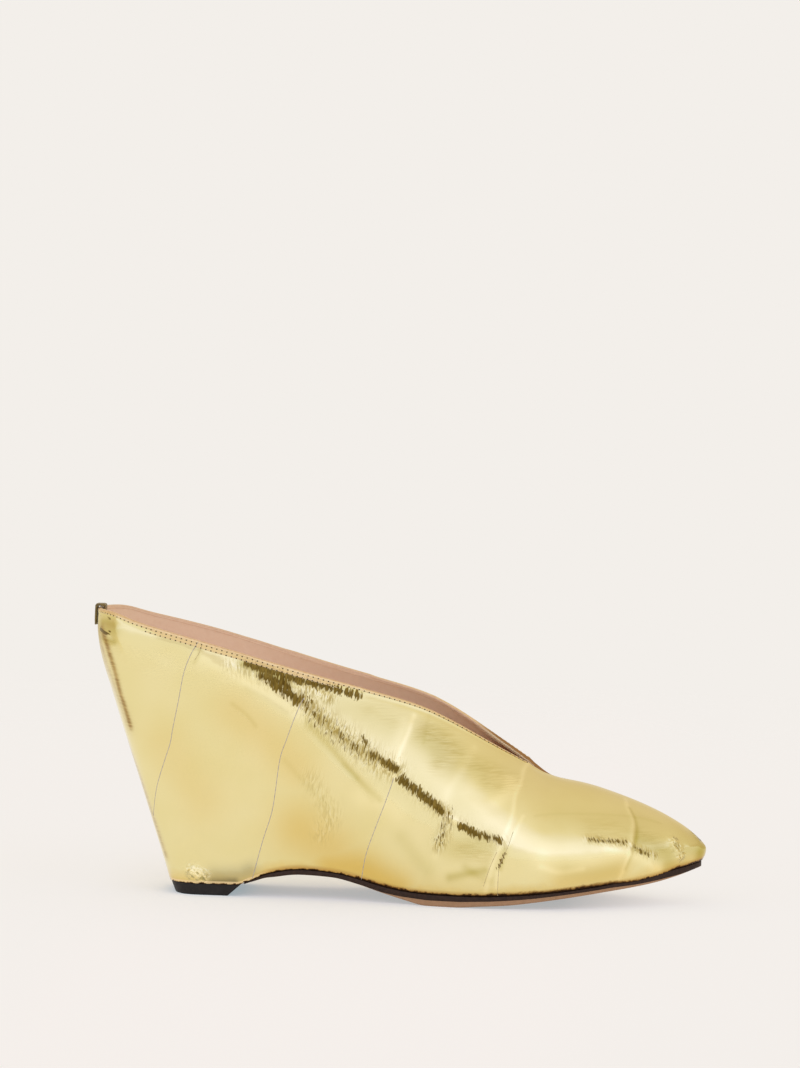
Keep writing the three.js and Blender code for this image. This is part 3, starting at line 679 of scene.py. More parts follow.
SEAM_4 = [(171, 1000), (169.5, 878), (168.8, 750), (167.2, 652), (166.5, 517), (164.5, 405),
          (161.8, 290), (159.2, 182), (156.5, 0)]
SEAM_5 = [(209, 900), (209.8, 765), (210.8, 682), (212.5, 562), (212, 340), (210.8, 193), (207, 0)]
FOLD = [(150.5, 885), (148, 775), (144, 657), (141.2, 568), (140.5, 500), (141, 405), (140.8, 345),
        (139.2, 278), (137.5, 215)]
FINE_SEAMS = [
    [(167, 395), (165.3, 307), (163.4, 238), (161.9, 160), (161.6, 0)],
    [(161, 270), (158.6, 182), (156, 60)],
    [(44.3, 985), (43.3, 950), (41.6, 915)],
]

# Creases: height, half width, tone, line. A ridge stands up or, below zero, sinks in; a step lifts its
# plus side and fades out over four half widths. Tone paints a highlight along it or, below zero, shade.
RIDGES = [
    (0.42, 5.0, 0.0, [(62, 1000), (74, 965), (84, 915), (93, 860), (101, 800), (109, 740), (117, 675),
                      (124, 620)]),
    (0.70, 3.2, 0.0, [(76, 1000), (86, 1000), (97, 1000), (110, 1000)]),
    (0.16, 1.0, 0.0, [(88, 845), (96, 790), (104, 730), (112, 672), (118, 630)]),
    (0.30, 1.3, 0.15, [(139.5, 452), (143, 430), (147, 412)]),
    (-0.14, 1.6, 0.05, [(56.5, 900), (67, 855), (77, 800), (84, 760)]),
    (-0.22, 1.5, -0.06, [(86, 735), (93, 660), (99, 595), (106, 530)]),
    (-0.18, 1.4, -0.05, [(89, 790), (99, 713), (109, 623), (115, 560)]),
    (-0.12, 1.0, -0.08, [(56.5, 777), (62, 743), (66, 695)]),
    (-0.16, 1.6, -0.05, [(77.5, 547), (83.5, 470), (91, 388), (95.5, 343)]),
    (-0.18, 1.6, -0.05, [(101, 583), (107, 515), (112, 438)]),
    (0.22, 2.2, 0.06, FOLD),
    (0.20, 1.1, 0.14, SEAM_3[:6]),
    (0.22, 1.1, 0.12, SEAM_4),
    (0.16, 0.9, 0.10, [(170.5, 500), (168, 410), (166, 330), (163.5, 250), (161.8, 170), (161, 50)]),
    (0.25, 1.1, 0.12, SEAM_5),
    (-0.16, 1.0, -0.16, [(210.7, 740), (213.2, 600), (214.2, 450), (213, 260), (210.2, 120)]),
    (-0.20, 2.0, -0.10, [(149, 170), (153.5, 125), (158.5, 100)]),
    (-0.14, 1.2, -0.20, [(164.3, 285), (163.3, 238), (162.3, 170)]),
    (-0.14, 1.4, 0.10, [(178, 173), (185, 133), (194, 143)]),
    (-0.10, 0.9, -0.12, [(43.5, 965), (42.8, 930), (41.5, 905)]),
    (-0.20, 1.4, -0.10, [(3, 955), (6, 957), (9, 957)]),
    (-0.20, 1.3, -0.22, [(3.5, 895), (6, 893), (9.5, 890)]),
]
STEPS = [
    (0.10, 0.7, 0.0, SEAM_3[4:]),
    (0.10, 0.8, -0.05, [(175, 505), (192, 547), (204, 588), (215, 638), (223, 660)]),
    (0.10, 0.8, -0.04, [(133, 990), (132.3, 930), (131.8, 860), (131, 790)]),
]

# All marks below: strength, half width, line.
# Painted dark reflections: ragged patches along the crest, where the sharply folded foil faces away from the
# light
DARK = [
    (1.0, 1.4, [(62, 958), (72, 953), (80, 950), (88, 953), (98, 953), (105, 950)]),
    (1.0, 1.9, [(68, 925), (72, 921), (77, 915)]),
    (1.0, 1.7, [(72, 905), (75.5, 885), (79, 868), (82.5, 848)]),
    (1.0, 1.6, [(75.5, 950), (77.5, 910), (79.5, 875)]),
    (0.46, 3.4, [(84, 870), (87, 830), (92, 775), (100, 715), (107, 675), (112, 660)]),
    (0.62, 1.2, [(84, 855), (87, 820), (91, 780)]),
    (0.7, 1.0, [(107.5, 742), (110, 705)]),
    (0.75, 1.6, [(111, 675), (117, 640)]),
    (1.0, 1.6, [(117.5, 640), (119.5, 632), (121, 622)]),
    (1.0, 1.8, [(123.5, 578), (126.5, 557), (130.5, 527), (135, 495), (139, 458)]),
    (0.45, 2.6, [(140.5, 480), (141, 430), (140.5, 370), (139.5, 310)]),
    (1.0, 1.5, [(147, 398), (150.5, 378), (153.6, 357)]),
    (1.0, 1.3, [(156.3, 363), (157.8, 352)]),
    (1.0, 1.3, [(160.2, 352), (161.8, 338)]),
    (0.9, 0.7, [(164, 262), (162.9, 215), (161.6, 172)]),
    (0.9, 0.8, [(2.5, 925), (5, 917), (7.2, 920)]),
    (0.7, 0.6, [(2.5, 975), (5, 970), (7, 970)]),
    (0.58, 1.0, [(196, 352), (200.2, 342), (206, 343), (209.7, 340)]),
    (0.56, 1.0, [(213.5, 297), (216.5, 262), (218.8, 232)]),
]

# Fine hair-like wrinkles in relief, with painted highlights on their crests and, in their troughs, cracks
# and painted shade
FRAYED = [
    (1.0, 4.4, [(84, 870), (91, 795), (101, 722), (109, 665), (116, 635), (120, 620)]),
    (0.9, 2.8, [(80, 945), (88, 920), (94, 895)]),
    (0.5, 3.0, [(56, 930), (64, 925), (70, 905)]),
    (0.5, 3.0, [(121, 600), (127, 545), (137, 463)]),
    (1.0, 2.4, [(138, 480), (141, 450), (141, 380), (140, 320), (138.5, 270)]),
    (0.4, 2.6, [(147, 410), (155, 360), (163, 330)]),
    (0.9, 1.6, [(195.5, 352), (205, 342), (210, 338)]),
    (0.9, 1.6, [(213, 300), (217, 257), (221, 210)]),
    (0.30, 4.0, [(88, 470), (93, 370), (96, 300), (92, 200)]),
]

# Small crumpled spots in relief, with painted shade in their hollows
CRINKLED = [
    (1.0, 2.4, [(41.5, 40), (44, 30), (46.5, 20)]),
    (0.8, 2.0, [(228.5, 410), (229.8, 295), (231, 170)]),
    (0.5, 2.0, [(236, 930), (237, 800)]),
]

# Painted orange reflections: deeper, more orange gold
ORANGE_REFLECTIONS = [
    (0.90, 9.0, [(96, 20), (108, 50), (122, 0)]),
    (0.60, 12.0, [(84, 200), (96, 120)]),
    (0.35, 9.0, [(58, 750), (70, 660), (82, 520)]),
    (0.55, 6.0, [(186, 40), (198, 60), (208, 80)]),
    (0.25, 10.0, [(30, 550), (45, 350)]),
    (0.30, 6.0, [(120, 40), (140, 20), (158, 20)]),
]

# Painted highlights and painted darker reflections: change of tone, half width, line
SHADES = [
    (0.09, 3.6, [(45, 935), (52, 920), (61, 900), (68, 875), (75, 845), (82, 805)]),
    (0.07, 4.0, [(108, 440), (116, 440), (122, 410)]),
    (-0.06, 1.4, [(62, 852), (69, 830), (78, 785)]),
    (-0.12, 1.3, [(86, 755), (95, 665), (105, 542), (115, 450)]),
    (-0.10, 7.0, [(98, 870), (108, 870), (118, 840)]),
    (0.08, 3.0, [(123.5, 860), (121.5, 740), (120, 670)]),
    (-0.09, 3.5, [(124, 280), (129, 200), (134, 130)]),
    (-0.12, 5.0, [(140, 275), (147, 265), (152.5, 300), (156, 320)]),
    (-0.20, 1.8, [(143, 105), (150, 135), (156.5, 160)]),
    (0.04, 3.0, [(132.5, 655), (138, 600), (141.5, 560)]),
    (0.07, 4.0, [(150, 613), (154, 537), (157.5, 450)]),
    (0.13, 3.2, [(160, 580), (164.5, 670), (165, 750)]),
    (-0.13, 6.0, [(134, 850), (140, 800), (144, 740)]),
    (-0.07, 5.0, [(150, 760), (157, 745), (163, 770)]),
    (0.10, 5.0, [(165, 420), (171, 330), (177, 260)]),
    (0.10, 4.5, [(180, 240), (188, 240), (196, 220), (205, 240)]),
    (-0.10, 3.6, [(188, 130), (197, 110), (206, 130)]),
    (0.14, 2.0, [(203, 290), (211, 250), (218, 175), (223, 70)]),
    (-0.18, 4.0, [(215, 370), (221, 310), (227, 240)]),
    (-0.05, 7.0, [(186, 480), (200, 470), (212, 520)]),
    (-0.05, 5.0, [(215, 620), (222, 600), (230, 660)]),
    (-0.08, 4.0, [(231, 400), (235, 550), (236, 750)]),
    (-0.12, 2.6, [(232.5, 280), (235, 300), (238, 300)]),
    (-0.10, 4.0, [(129, 810), (132.5, 780), (136, 740)]),
    (0.06, 3.5, [(143, 770), (147, 740)]),
    (0.10, 3.5, [(159, 745), (163, 735), (166, 730)]),
    (-0.30, 4.5, [(238.5, 950), (240, 500), (239, 150)]),
    (-0.14, 3.0, [(226, 70), (232, 40)]),
    (0.12, 2.6, [(228.5, 410), (229.8, 295), (231, 170)]),
    (0.12, 2.0, [(41.5, 40), (46.5, 20)]),
    (-0.28, 2.2, [(60, 955), (68, 950), (76, 935)]),
    (-0.20, 3.5, [(2, 930), (5.5, 940), (9, 940)]),
    (-0.12, 3.0, [(1.5, 880), (4, 780), (7.5, 660), (11, 550)]),
]

# Grey patch at the foot of the heel, darker towards the bottom
HEEL_FOOT_GREY = [
    (0.95, 2.6, [(50, 4), (54, 6), (58, 10)]),
    (0.45, 3.6, [(50, 28), (58, 34), (64, 42)]),
]

# Painted duller reflections: khaki patches, with fine scratches along the shoe
KHAKI = [
    (1.0, 5.0, [(132, 860), (138, 860), (143, 810)]),
    (0.8, 4.0, [(137, 700), (142, 770)]),
    (0.7, 5.0, [(150, 770), (157, 765), (166, 740)]),
    (0.7, 4.0, [(156, 690), (161, 700), (166, 770)]),
    (0.4, 5.0, [(110, 900), (119, 880)]),
    (0.6, 4.0, [(148, 280), (156, 250)]),
    (0.7, 4.0, [(216, 420), (224, 330)]),
    (0.4, 5.0, [(197, 440), (207, 440)]),
]

# Brown strips beside the centre back, with darker streaks
BACK_BROWN_STRIPS = [
    (1.0, 1.8, [(3.4, 925), (4.4, 905), (5.8, 870), (7.2, 838), (8.5, 805), (9.8, 768), (11.2, 715),
                (13, 670), (14.6, 625), (15.8, 590)]),
    (0.30, 3.6, [(3.2, 865), (5.2, 800), (8, 745), (10.5, 690), (13, 645), (14.8, 600)]),
    (0.60, 2.8, [(1.5, 870), (3, 780), (6, 680), (9, 600), (13, 480)]),
    (0.45, 2.0, [(12.5, 550), (19, 400), (25, 240), (30, 100)]),
    (0.5, 2.2, [(1, 930), (2.5, 880), (4, 840)]),
]


def smooth_line(points, per_span):
    """Catmull-Rom line through the points."""
    points = np.array(points, float)
    ends = [2 * points[0] - points[1], 2 * points[-1] - points[-2]]
    padded = np.concatenate([ends[:1], points, ends[1:]])
    line = []
    for i in range(1, len(padded) - 2):
        p0, p1, p2, p3 = padded[i - 1:i + 3]
        for t in np.arange(per_span) / per_span:
            line.append(0.5 * (2 * p1 + (p2 - p0) * t + (2 * p0 - 5 * p1 + 4 * p2 - p3) * t ** 2
                               + (3 * p1 - p0 - 3 * p2 + p3) * t ** 3))
    line.append(points[-1])
    return np.array(line)


def on_skin(side, points, per_span=6):
    line = smooth_line(points, per_span)
    return surface(side, line[:, 0], np.clip(line[:, 1] / 1000, 0, 1))


def nearest(points, ways, line, reach):
    """For the points within reach of a line: which, how far, on which side, how far along it, and the
    line's whole length."""
    low, high = line.min(0) - reach, line.max(0) + reach
    close = np.nonzero(((points > low) & (points < high)).all(1))[0]
    p, way = points[close], ways[close]
    best = np.full(len(close), np.inf)
    signed, run = np.zeros(len(close)), np.zeros(len(close))
    travelled = 0.0
    for a, b in zip(line[:-1], line[1:]):
        step = b - a
        length = float(np.linalg.norm(step))
        if length < 1e-6:
            continue
        share = np.clip((p - a) @ step / length ** 2, 0, 1)
        off = p - (a + share[:, None] * step)
        gap = np.linalg.norm(off, axis=1)
        nearer = gap < best
        best = np.where(nearer, gap, best)
        signed = np.where(nearer, (np.cross(way, step / length) * off).sum(1), signed)
        run = np.where(nearer, travelled + share * length, run)
        travelled += length
    keep = best < reach
    return close[keep], best[keep], signed[keep], run[keep], travelled


# Creases fade out over this length at their ends, apart from a start at this level or above, on the rim
CREASE_END = 5.0
RIM_LEVEL = 990


def creased(points, ways, side):
    """How far each point of one side is lifted by the creases."""
    lift = np.zeros(len(points))
    for creases, stepped in ((RIDGES, False), (STEPS, True)):
        for height, half, _, places in creases:
            which, gap, signed, run, whole = nearest(points, ways, on_skin(side, places), 5 * half)
            if places[0][1] >= RIM_LEVEL:
                fade = smoothstep(whole - run, 0, CREASE_END)
            else:
                end = min(CREASE_END, whole / 3)
                fade = smoothstep(run, 0, end) * smoothstep(whole - run, 0, end)
            rise = np.exp(-(gap / half) ** 2)
            if stepped:
                sloping = np.exp(-(np.maximum(signed, 0) / (2.2 * half)) ** 2)
                rise = (0.5 + 0.5 * np.tanh(2 * signed / half)) * sloping
            lift[which] += height * rise * fade
    return lift


def masked(points, ways, side, rows_of_marks, edged=False, added=False):
    """Marks of one side, full along their lines and fading beside them. The strongest counts, unless
    they are added up; an edged mark fades evenly, over twice its half width."""
    mask = np.zeros(len(points))
    for strength, half, places in rows_of_marks:
        which, gap, *_ = nearest(points, ways, on_skin(side, places), 2.5 * half + 1)
        share = np.clip(1 - gap / (2 * half), 0, 1) if edged else np.exp(-(gap / half) ** 2)
        before = mask[which]
        mask[which] = before + strength * share if added else np.maximum(before, strength * share)
    return mask


# The foil cover. Its stations at the heel, along the middle and at the nose, and its levels come first,
# then those of the lining.
FINE_GRID, COARSE_GRID = (108, 262, 32, 116), (44, 110, 16, 44)
grid, level, along_shoe, outside = skin_grid(*FINE_GRID)
out_way = normals(grid, along_shoe)
rows, columns = level.shape
flat_points, flat_ways = grid.reshape(-1, 3), out_way.reshape(-1, 3)
is_out = np.broadcast_to(outside, level.shape).ravel()


def all_levels(values):
    """Values along the shoe, repeated for every level."""
    return np.broadcast_to(values, level.shape).ravel().copy()


MARKS = {"dark": DARK, "fray": FRAYED, "crinkle": CRINKLED, "orange_reflection": ORANGE_REFLECTIONS, "khaki": KHAKI,
         "back_brown": BACK_BROWN_STRIPS, "heel_grey": HEEL_FOOT_GREY}
# The inner side is a calmer mirror
INNER_SHARE = {"back_brown": 0.35, "heel_grey": 0.4, "dark": 0.85}
CREST_REACH = 45.0

crease_shades = [(shade, half / 1.2, places) for _, half, shade, places in RIDGES + STEPS if shade]
lift = np.zeros(len(flat_points))
marks = {key: np.zeros(len(flat_points)) for key in (*MARKS, "tone", "crest_run")}
marks["crest_gap"] = np.full(len(flat_points), CREST_REACH + 5)
for side, mine in ((OUT, is_out), (IN, ~is_out)):
    here = flat_points[mine], flat_ways[mine], side
    lift[mine] = creased(*here)
    for key, rows_of_marks in MARKS.items():
        share = 1.0 if side == OUT else INNER_SHARE.get(key, 1.0)
        marks[key][mine] = share * masked(*here, rows_of_marks, edged=key == "dark")
    marks["tone"][mine] = masked(*here, crease_shades + SHADES, added=True)
    which, _, signed, run, _ = nearest(*here[:2], on_skin(side, CREST), CREST_REACH)
    found = np.nonzero(mine)[0][which]
    marks["crest_run"][found] = run
    marks["crest_gap"][found] = -SIGN[side] * signed

skin_height = section(OUT, along_shoe, np.ones(columns))[2]
from_rim = ((1 - level) * skin_height).ravel()
from_sole = (level * skin_height).ravel()
lift *= smoothstep(from_sole, 0, 1.5)
# The stitched band along the collar: a puffed edge above the stitches and a dip along them
before_throat = all_levels(smoothstep(THROAT - along_shoe, 1, 6))
BAND_RELIEF, BAND_HALF, PUFFED_AT, DIPPED_AT = 0.10, 0.7, 1.2, 2.6
puffed, dipped = [np.exp(-((from_rim - drop) / BAND_HALF) ** 2) for drop in (PUFFED_AT, DIPPED_AT)]
lift += BAND_RELIEF * before_throat * (puffed - dipped)
# Extra width of the stitched band where it has two rows
SECOND_ROW = 1.5
marks["double"] = all_levels(SECOND_ROW * between(along_shoe, 18, 30, 90, 104))
# How high the dark edge paint has crept up the foil, along x
CREPT_UP = ((0, 60, 75, 100, 112, 150, 165, 184, 198, 208, 222, 230, 240),
            (0.25, 0.25, 0.3, 0.4, 0.8, 0.7, 1.2, 1.2, 1.3, 0.9, 0.5, 0.7, 0.7))
marks["fringe"] = all_levels(np.interp(along_shoe, *CREPT_UP))
marks["hem"] = all_levels(1 - smoothstep(along_shoe, 62, 74))
# Beyond the throat there is no rim, so it is set far off
marks["from_rim"] = from_rim + 20 * (1 - before_throat)
marks["from_sole"] = from_sole
skin = (flat_points + flat_ways * lift[:, None]).reshape(grid.shape)
# At the toe, and a little over the lift, the foil is pulled down over the top of the sole's edge
PULLED_AT_TOE, PULLED_AT_LIFT, PULL_REACH = 1.2, 0.5, 7.0
pulled = PULLED_AT_TOE * between(along_shoe, 202, 214, 220, 231)
pulled += PULLED_AT_LIFT * (1 - smoothstep(along_shoe, 56, 61))
skin[:, :, 2] -= pulled * np.clip(1 - from_sole.reshape(level.shape) / PULL_REACH, 0, 1)
cover_faces = grid_faces(rows, columns, True)
mesh_piece("upper_cover", skin.reshape(-1, 3), cover_faces, [foil_material], "upper", marks=marks)

# Rolled edge of the collar: from the cover over the cut and a little way down the inside
collar = int((along_shoe[outside] < THROAT).sum())
edge_columns = [j % columns for j in range(-collar, collar + 1)]
EDGE_INSIDE, EDGE_TUCK = 0.6, 0.12


def rolled_edge(raised):
    """Lines along the collar, one after the other over the rim, whose creases raise it by the values."""
    top = skin[-1, edge_columns]
    way = out_way[-1, edge_columns]
    up = top - skin[-2, edge_columns]
    up -= way * (up * way).sum(1, keepdims=True)
    up /= np.linalg.norm(up, axis=1, keepdims=True)
    half = UPPER_WALL / 2
    lines = [top + way * half * (math.cos(angle) - 1) + up * ROLL * math.sin(angle)
             for angle in np.linspace(0, math.pi, 9)]
    for share in (1 / 3, 2 / 3, 1):
        # The creases don't raise the lining, so the edge runs back in to meet it
        inward = UPPER_WALL + (raised + EDGE_TUCK) * share
        lines.append(top - way * inward[:, None] - up * EDGE_INSIDE * share)
    return np.array(lines)


edge = rolled_edge(lift.reshape(level.shape)[-1, edge_columns])
# Towards the throat the inner side's rim and the lining change, from and to these places: the rim's fold and
# the lining are painted darker, as shade in the narrow throat, and the binding lighter, as a highlight
RIM_DARKENS, LINING_DARKENS = (146, 158), (148, 164)
rim_throat = smoothstep(edge[:, :, 0], *RIM_DARKENS) * (np.arange(len(edge_columns)) < collar)
for name, material, part in (("collar_fold", fold_material, slice(0, 6)),
                             ("lining_edge", binding_material, slice(5, None))):
    mesh_piece(name, edge[part].reshape(-1, 3), grid_faces(len(edge[part]), len(edge_columns), False, True),
               [material], "upper", marks={"throat": rim_throat[part].ravel()})

# Lining: the skin moved in by the wall, from under the rolled edge down to the sole and into the toe
coarse, coarse_level, coarse_along, coarse_outside = skin_grid(*COARSE_GRID)
coarse_way = normals(coarse, coarse_along)
coarse_rows, coarse_columns = coarse_level.shape


def sunk(depth):
    """The coarse skin moved inwards; along the lower edge it moves level, so the wall stands upright."""
    way = coarse_way.copy()
    way[0, :, 2] = 0
    way /= np.maximum(np.linalg.norm(way, axis=2, keepdims=True), 1e-9)
    return coarse - way * depth


lining = sunk(UPPER_WALL).reshape(-1, 3)
mesh_piece("upper_lining", lining, grid_faces(coarse_rows, coarse_columns, True, True), [lining_material],
           "upper", marks={"throat": smoothstep(lining[:, 0], *LINING_DARKENS)})

# Columns on either side of each coarse station, for the pieces that lie between the sides
out_column = np.arange(int(coarse_outside.sum()))
in_column = (-out_column) % coarse_columns


def at_height(inner, column, height_at):
    """Where a column of the sunk skin crosses a height that depends on x."""
    line = inner[:, column]
    over = line[:, 2] - height_at(line[:, 0])
    k = int(np.argmax(over >= 0))
    if k == 0:
        return np.array([line[0, 0], line[0, 1], height_at(line[0, 0])], float)
    share = over[k - 1] / (over[k - 1] - over[k])
    return line[k - 1] + (line[k] - line[k - 1]) * share


def lower_ends(at_heel):
    """Outer and inner end of each station at the heel, or ahead of it, on the edge the sole follows."""
    low_row = sunk(SOLE_INSET)[0]
    return [(low_row[out], low_row[into]) for out, into, x in zip(out_column, in_column, coarse_along)
            if (x < HEEL_END) == at_heel]


def loft(name, rings, materials, node, picks=None):
    """Skin over a row of closed rings, its ends closed with fans; picks chooses a face's material."""
    rings = np.array(rings)
    count, around = rings.shape[:2]
    points = np.concatenate([rings.reshape(-1, 3), [rings[0].mean(0), rings[-1].mean(0)]])
    first, last = count * around, count * around + 1
    end_ring = first - around
    faces = grid_faces(count, around, True)
    for j in range(around):
        n = (j + 1) % around
        faces += [[n, j, first], [end_ring + j, end_ring + n, last]]
    piece = mesh_piece(name, points, faces, materials, node)
    if picks:
        chosen = [picks(n % around) for n in range(end_ring)] + [picks(0)] * (2 * around)
        piece.data.polygons.foreach_set("material_index", chosen)


# Shares of the insole's half width at which its points lie, on either side of the middle
HALF_SHARES = (0.3, 0.55, 0.75, 0.88, 0.95, 0.985, 1.0)
EDGE_SHARES = np.array([-share for share in HALF_SHARES[::-1]] + [0.0, *HALF_SHARES])
# How it slopes from the wedge's end to the sole, the rounding of its edge, and the width from which it
# is cambered in full
INSOLE_SLOPE = 0.25
INSOLE_ROUND, INSOLE_DROP = 0.8, 0.7
FULL_INSOLE = 20.0


def insole_top(x):
    on_sole = sole_top(x) + GAP + INSOLE_THICK
    seat = footbed_line(WEDGE_END) - (x - WEDGE_END) * INSOLE_SLOPE
    return np.where(x < WEDGE_END, footbed_line(x), np.maximum(on_sole, seat))


def insole():
    inner = sunk(UPPER_WALL + GAP)
    rings = []
    for pair in zip(out_column, in_column):
        ends = [at_height(inner, column, insole_top) for column in pair]
        width = float(np.linalg.norm(ends[1] - ends[0]))
        full = min(1.0, width / FULL_INSOLE)
        line = ends[0] + (ends[1] - ends[0]) * ((EDGE_SHARES[:, None] + 1) / 2)
        top, under = line.copy(), line.copy()
        hollow = CAMBER * (1 - EDGE_SHARES ** 2) * full
        rim = np.clip((1 - np.abs(EDGE_SHARES)) * width / 2 / INSOLE_ROUND, 0, 1)
        top[:, 2] -= hollow + INSOLE_DROP * (1 - np.sqrt(1 - (1 - rim) ** 2)) * full
        under[:, 2] -= hollow + INSOLE_THICK * max(full, 0.1)
        rings.append(np.concatenate([top, under[::-1]]))
    loft("insole_sock", rings, [insole_material], "insole")


insole()

# Outsole: dark painted edge over a tan bevel, and the tan leather underside. Its rows come first: how far
# down the edge is painted, along x.
PAINTED_EDGE = ((100, 116, 130, 160, 185, 205, 214, 226, 234),
                (0.93, 0.88, 0.50, 0.48, 0.46, 0.50, 0.70, 0.80, 0.93))
# How far its edge stands out from the top down, and shares of its half width along the underside
SOLE_BULGE = (0.0, 0.2, 0.3, 0.2, 0.1, -0.05, -0.4, -0.8)
UNDERSIDE = (0.93, 0.8, 0.6, 0.3, 0.0, -0.3, -0.6, -0.8, -0.93)
PAINTED_FACES = 4
# Its thickness at the lift as a share, how far in the underside begins, and its hollow's largest share
WAIST_SHARE = 0.35
UNDER_IN, HOLLOW_SHARE = 0.8, 0.4


def sole_ring(outer, inner):
    """Round one station of the outsole: down the inner edge, under, up the outer edge and over."""
    x = float(outer[0])
    half = float(np.linalg.norm(inner - outer)) / 2
    across = (inner - outer) / max(2 * half, 1e-6)
    middle = (outer + inner) / 2
    full = min(1.0, half / 4)
    top = float(sole_top(x))
    thinned = WAIST_SHARE + (1 - WAIST_SHARE) * float(smoothstep(x, HEEL_END + 1, HEEL_END + 14))
    thick = (top - float(sole_under(x))) * thinned
    painted = float(np.interp(x, *PAINTED_EDGE))
    down = (0.0, 0.15 * painted, 0.6 * painted, painted, painted + 0.02, 0.5 + painted / 2, 0.98, 1.0)

    def at(sideways, z):
        point = middle + across * sideways
        point[2] = z
        return point

    edges = [[at(side * (half + bulge * full), top - thick * share)
              for bulge, share in zip(SOLE_BULGE, down)] for side in (1, -1)]
    under = [at((half - UNDER_IN * full) * share, top - thick) for share in UNDERSIDE]
    over = []
    for share in (-0.6, 0.0, 0.6):
        dip = CAMBER * (1 - share * share) * min(1, half / 10) * float(smoothstep(x, *HOLLOW_SPAN))
        over.append(at(half * share, top - min(dip, thick * HOLLOW_SHARE)))
    return edges[0] + under + edges[1][::-1] + over


def sole_material_at(n):
    edge_faces = len(SOLE_BULGE)
    far = 2 * edge_faces + len(UNDERSIDE)
    return 0 if n < PAINTED_FACES or far - PAINTED_FACES <= n < far else 1


loft("leather_outsole", [sole_ring(*ends) for ends in lower_ends(False)], [edge_material, sole_material],
     "outsole", sole_material_at)

# Top lift: rubber block with slanted ends and small bevels, as steps in at shares of its depth
LIFT_BEVELS = ((0.0, 0.25), (0.12, 0.0), (0.5, 0.0), (0.88, 0.0), (0.97, 0.12), (1.0, 0.45))


def lift_ring(ends):
    x = float(ends[0][0])
    back = float(back_line(LIFT_HEIGHT)) + SOLE_INSET
    share = min(1.0, (x - back) / (LIFT_FRONT - back))
    lean = LIFT_SLANT_BACK * (1 - share) - LIFT_SLANT_FRONT * share
    sides = []
    for side in (OUT, IN):
        half = abs(float(ends[side][1]))
        taper = LIFT_TAPER / float(foot_half[side](x))
        sides.append([[x + lean * depth, SIGN[side] * max(0.0, half * (1 - taper * depth) - step),
                       LIFT_HEIGHT * (1 - depth)] for depth, step in LIFT_BEVELS])
    return sides[OUT][::-1] + sides[IN]


loft("rubber_top_lift", [lift_ring(ends) for ends in lower_ends(True)], [rubber_material], "top_lift")

# Pull tab: a strip folded over the collar at the centre back, its edges rounded
TAB_HALF_THICK = 0.45
# Drops below the collar of its places outside, from the lower end up, and inside, down to the other end
TAB_OUTSIDE = (7.0, 5.6, 4.2, 2.8, 1.4, 0.2)
TAB_INSIDE = (0.8, 2.2, 3.6, 5.0)
TAB_CORNERS = 20


def tab_line():
    """The strip's middle as x and z, up the outside, over the collar and down the inside."""
    def back(drop, forward):
        return (float(back_line(COLLAR_HEIGHT - drop)) + forward, COLLAR_HEIGHT - drop)

    off = GAP + TAB_HALF_THICK
    corner = COLLAR_HEIGHT + off - TAB_HALF_THICK
    start = back(0.0, TAB_HALF_THICK - off)[0]
    end = back(0.0, UPPER_WALL + off - TAB_HALF_THICK)[0]
    line = [back(drop, -off) for drop in TAB_OUTSIDE]
    for middle, first, last in ((start, math.pi, math.pi / 2), (end, math.pi / 2, 0)):
        line += [(middle + TAB_HALF_THICK * math.cos(angle), corner + TAB_HALF_THICK * math.sin(angle))
                 for angle in np.linspace(first, last, 4)]
    return np.array(line + [back(drop, UPPER_WALL + off) for drop in TAB_INSIDE])


def pull_tab():
    line = tab_line()
    way = np.gradient(line, axis=0)
    way /= np.linalg.norm(way, axis=1, keepdims=True)
    collar_half = float(top_half[OUT](0.0))
    rings = []
    for (x, z), (way_x, way_z) in zip(line, way):
        ring = []
        for angle in np.linspace(0, 2 * math.pi, TAB_CORNERS + 1)[:-1]:
            wide, deep = math.cos(angle), math.sin(angle)
            y = TAB_WIDTH / 2 * math.copysign(abs(wide) ** 0.25, wide)
            t = TAB_HALF_THICK * math.copysign(abs(deep) ** 0.6, deep)
            bow = COLLAR_ROUND * (1 - math.sqrt(1 - (y / collar_half) ** 2))
            ring.append([x - way_z * t + bow, y, z + way_x * t])
        rings.append(ring)
    loft("pull_tab", rings, [tab_material], "back_tab")


pull_tab()

# Seams and stitches lie on the creased cover
cover_tree = BVHTree.FromPolygons([Vector(p) for p in skin.reshape(-1, 3)], cover_faces)


def on_cover(points, above):
    """Points moved to the creased cover, a little above it, and the cover's outward normals there."""
    found, ways = [], []
    for point in points:
        place, way, _, _ = cover_tree.find_nearest(Vector(point))
        if way.dot(Vector((0, point[1], 0))) < 0:
            way = -way
        found.append(place + way * above)
        ways.append(way)
    return np.array(found), np.array(ways)


def even_steps(line, pitch):
    travelled = np.concatenate([[0], np.cumsum(np.linalg.norm(np.diff(line, axis=0), axis=1))])
    at = np.arange(0, travelled[-1], pitch)
    return np.stack([np.interp(at, travelled, line[:, n]) for n in range(3)], 1)


# A seam's section, as shares of its half width and heights over the cover
SEAM_SECTION = ((-1.0, -0.03), (-0.5, 0.05), (0.5, 0.05), (1.0, -0.03))
SEAM_PITCH = 0.5


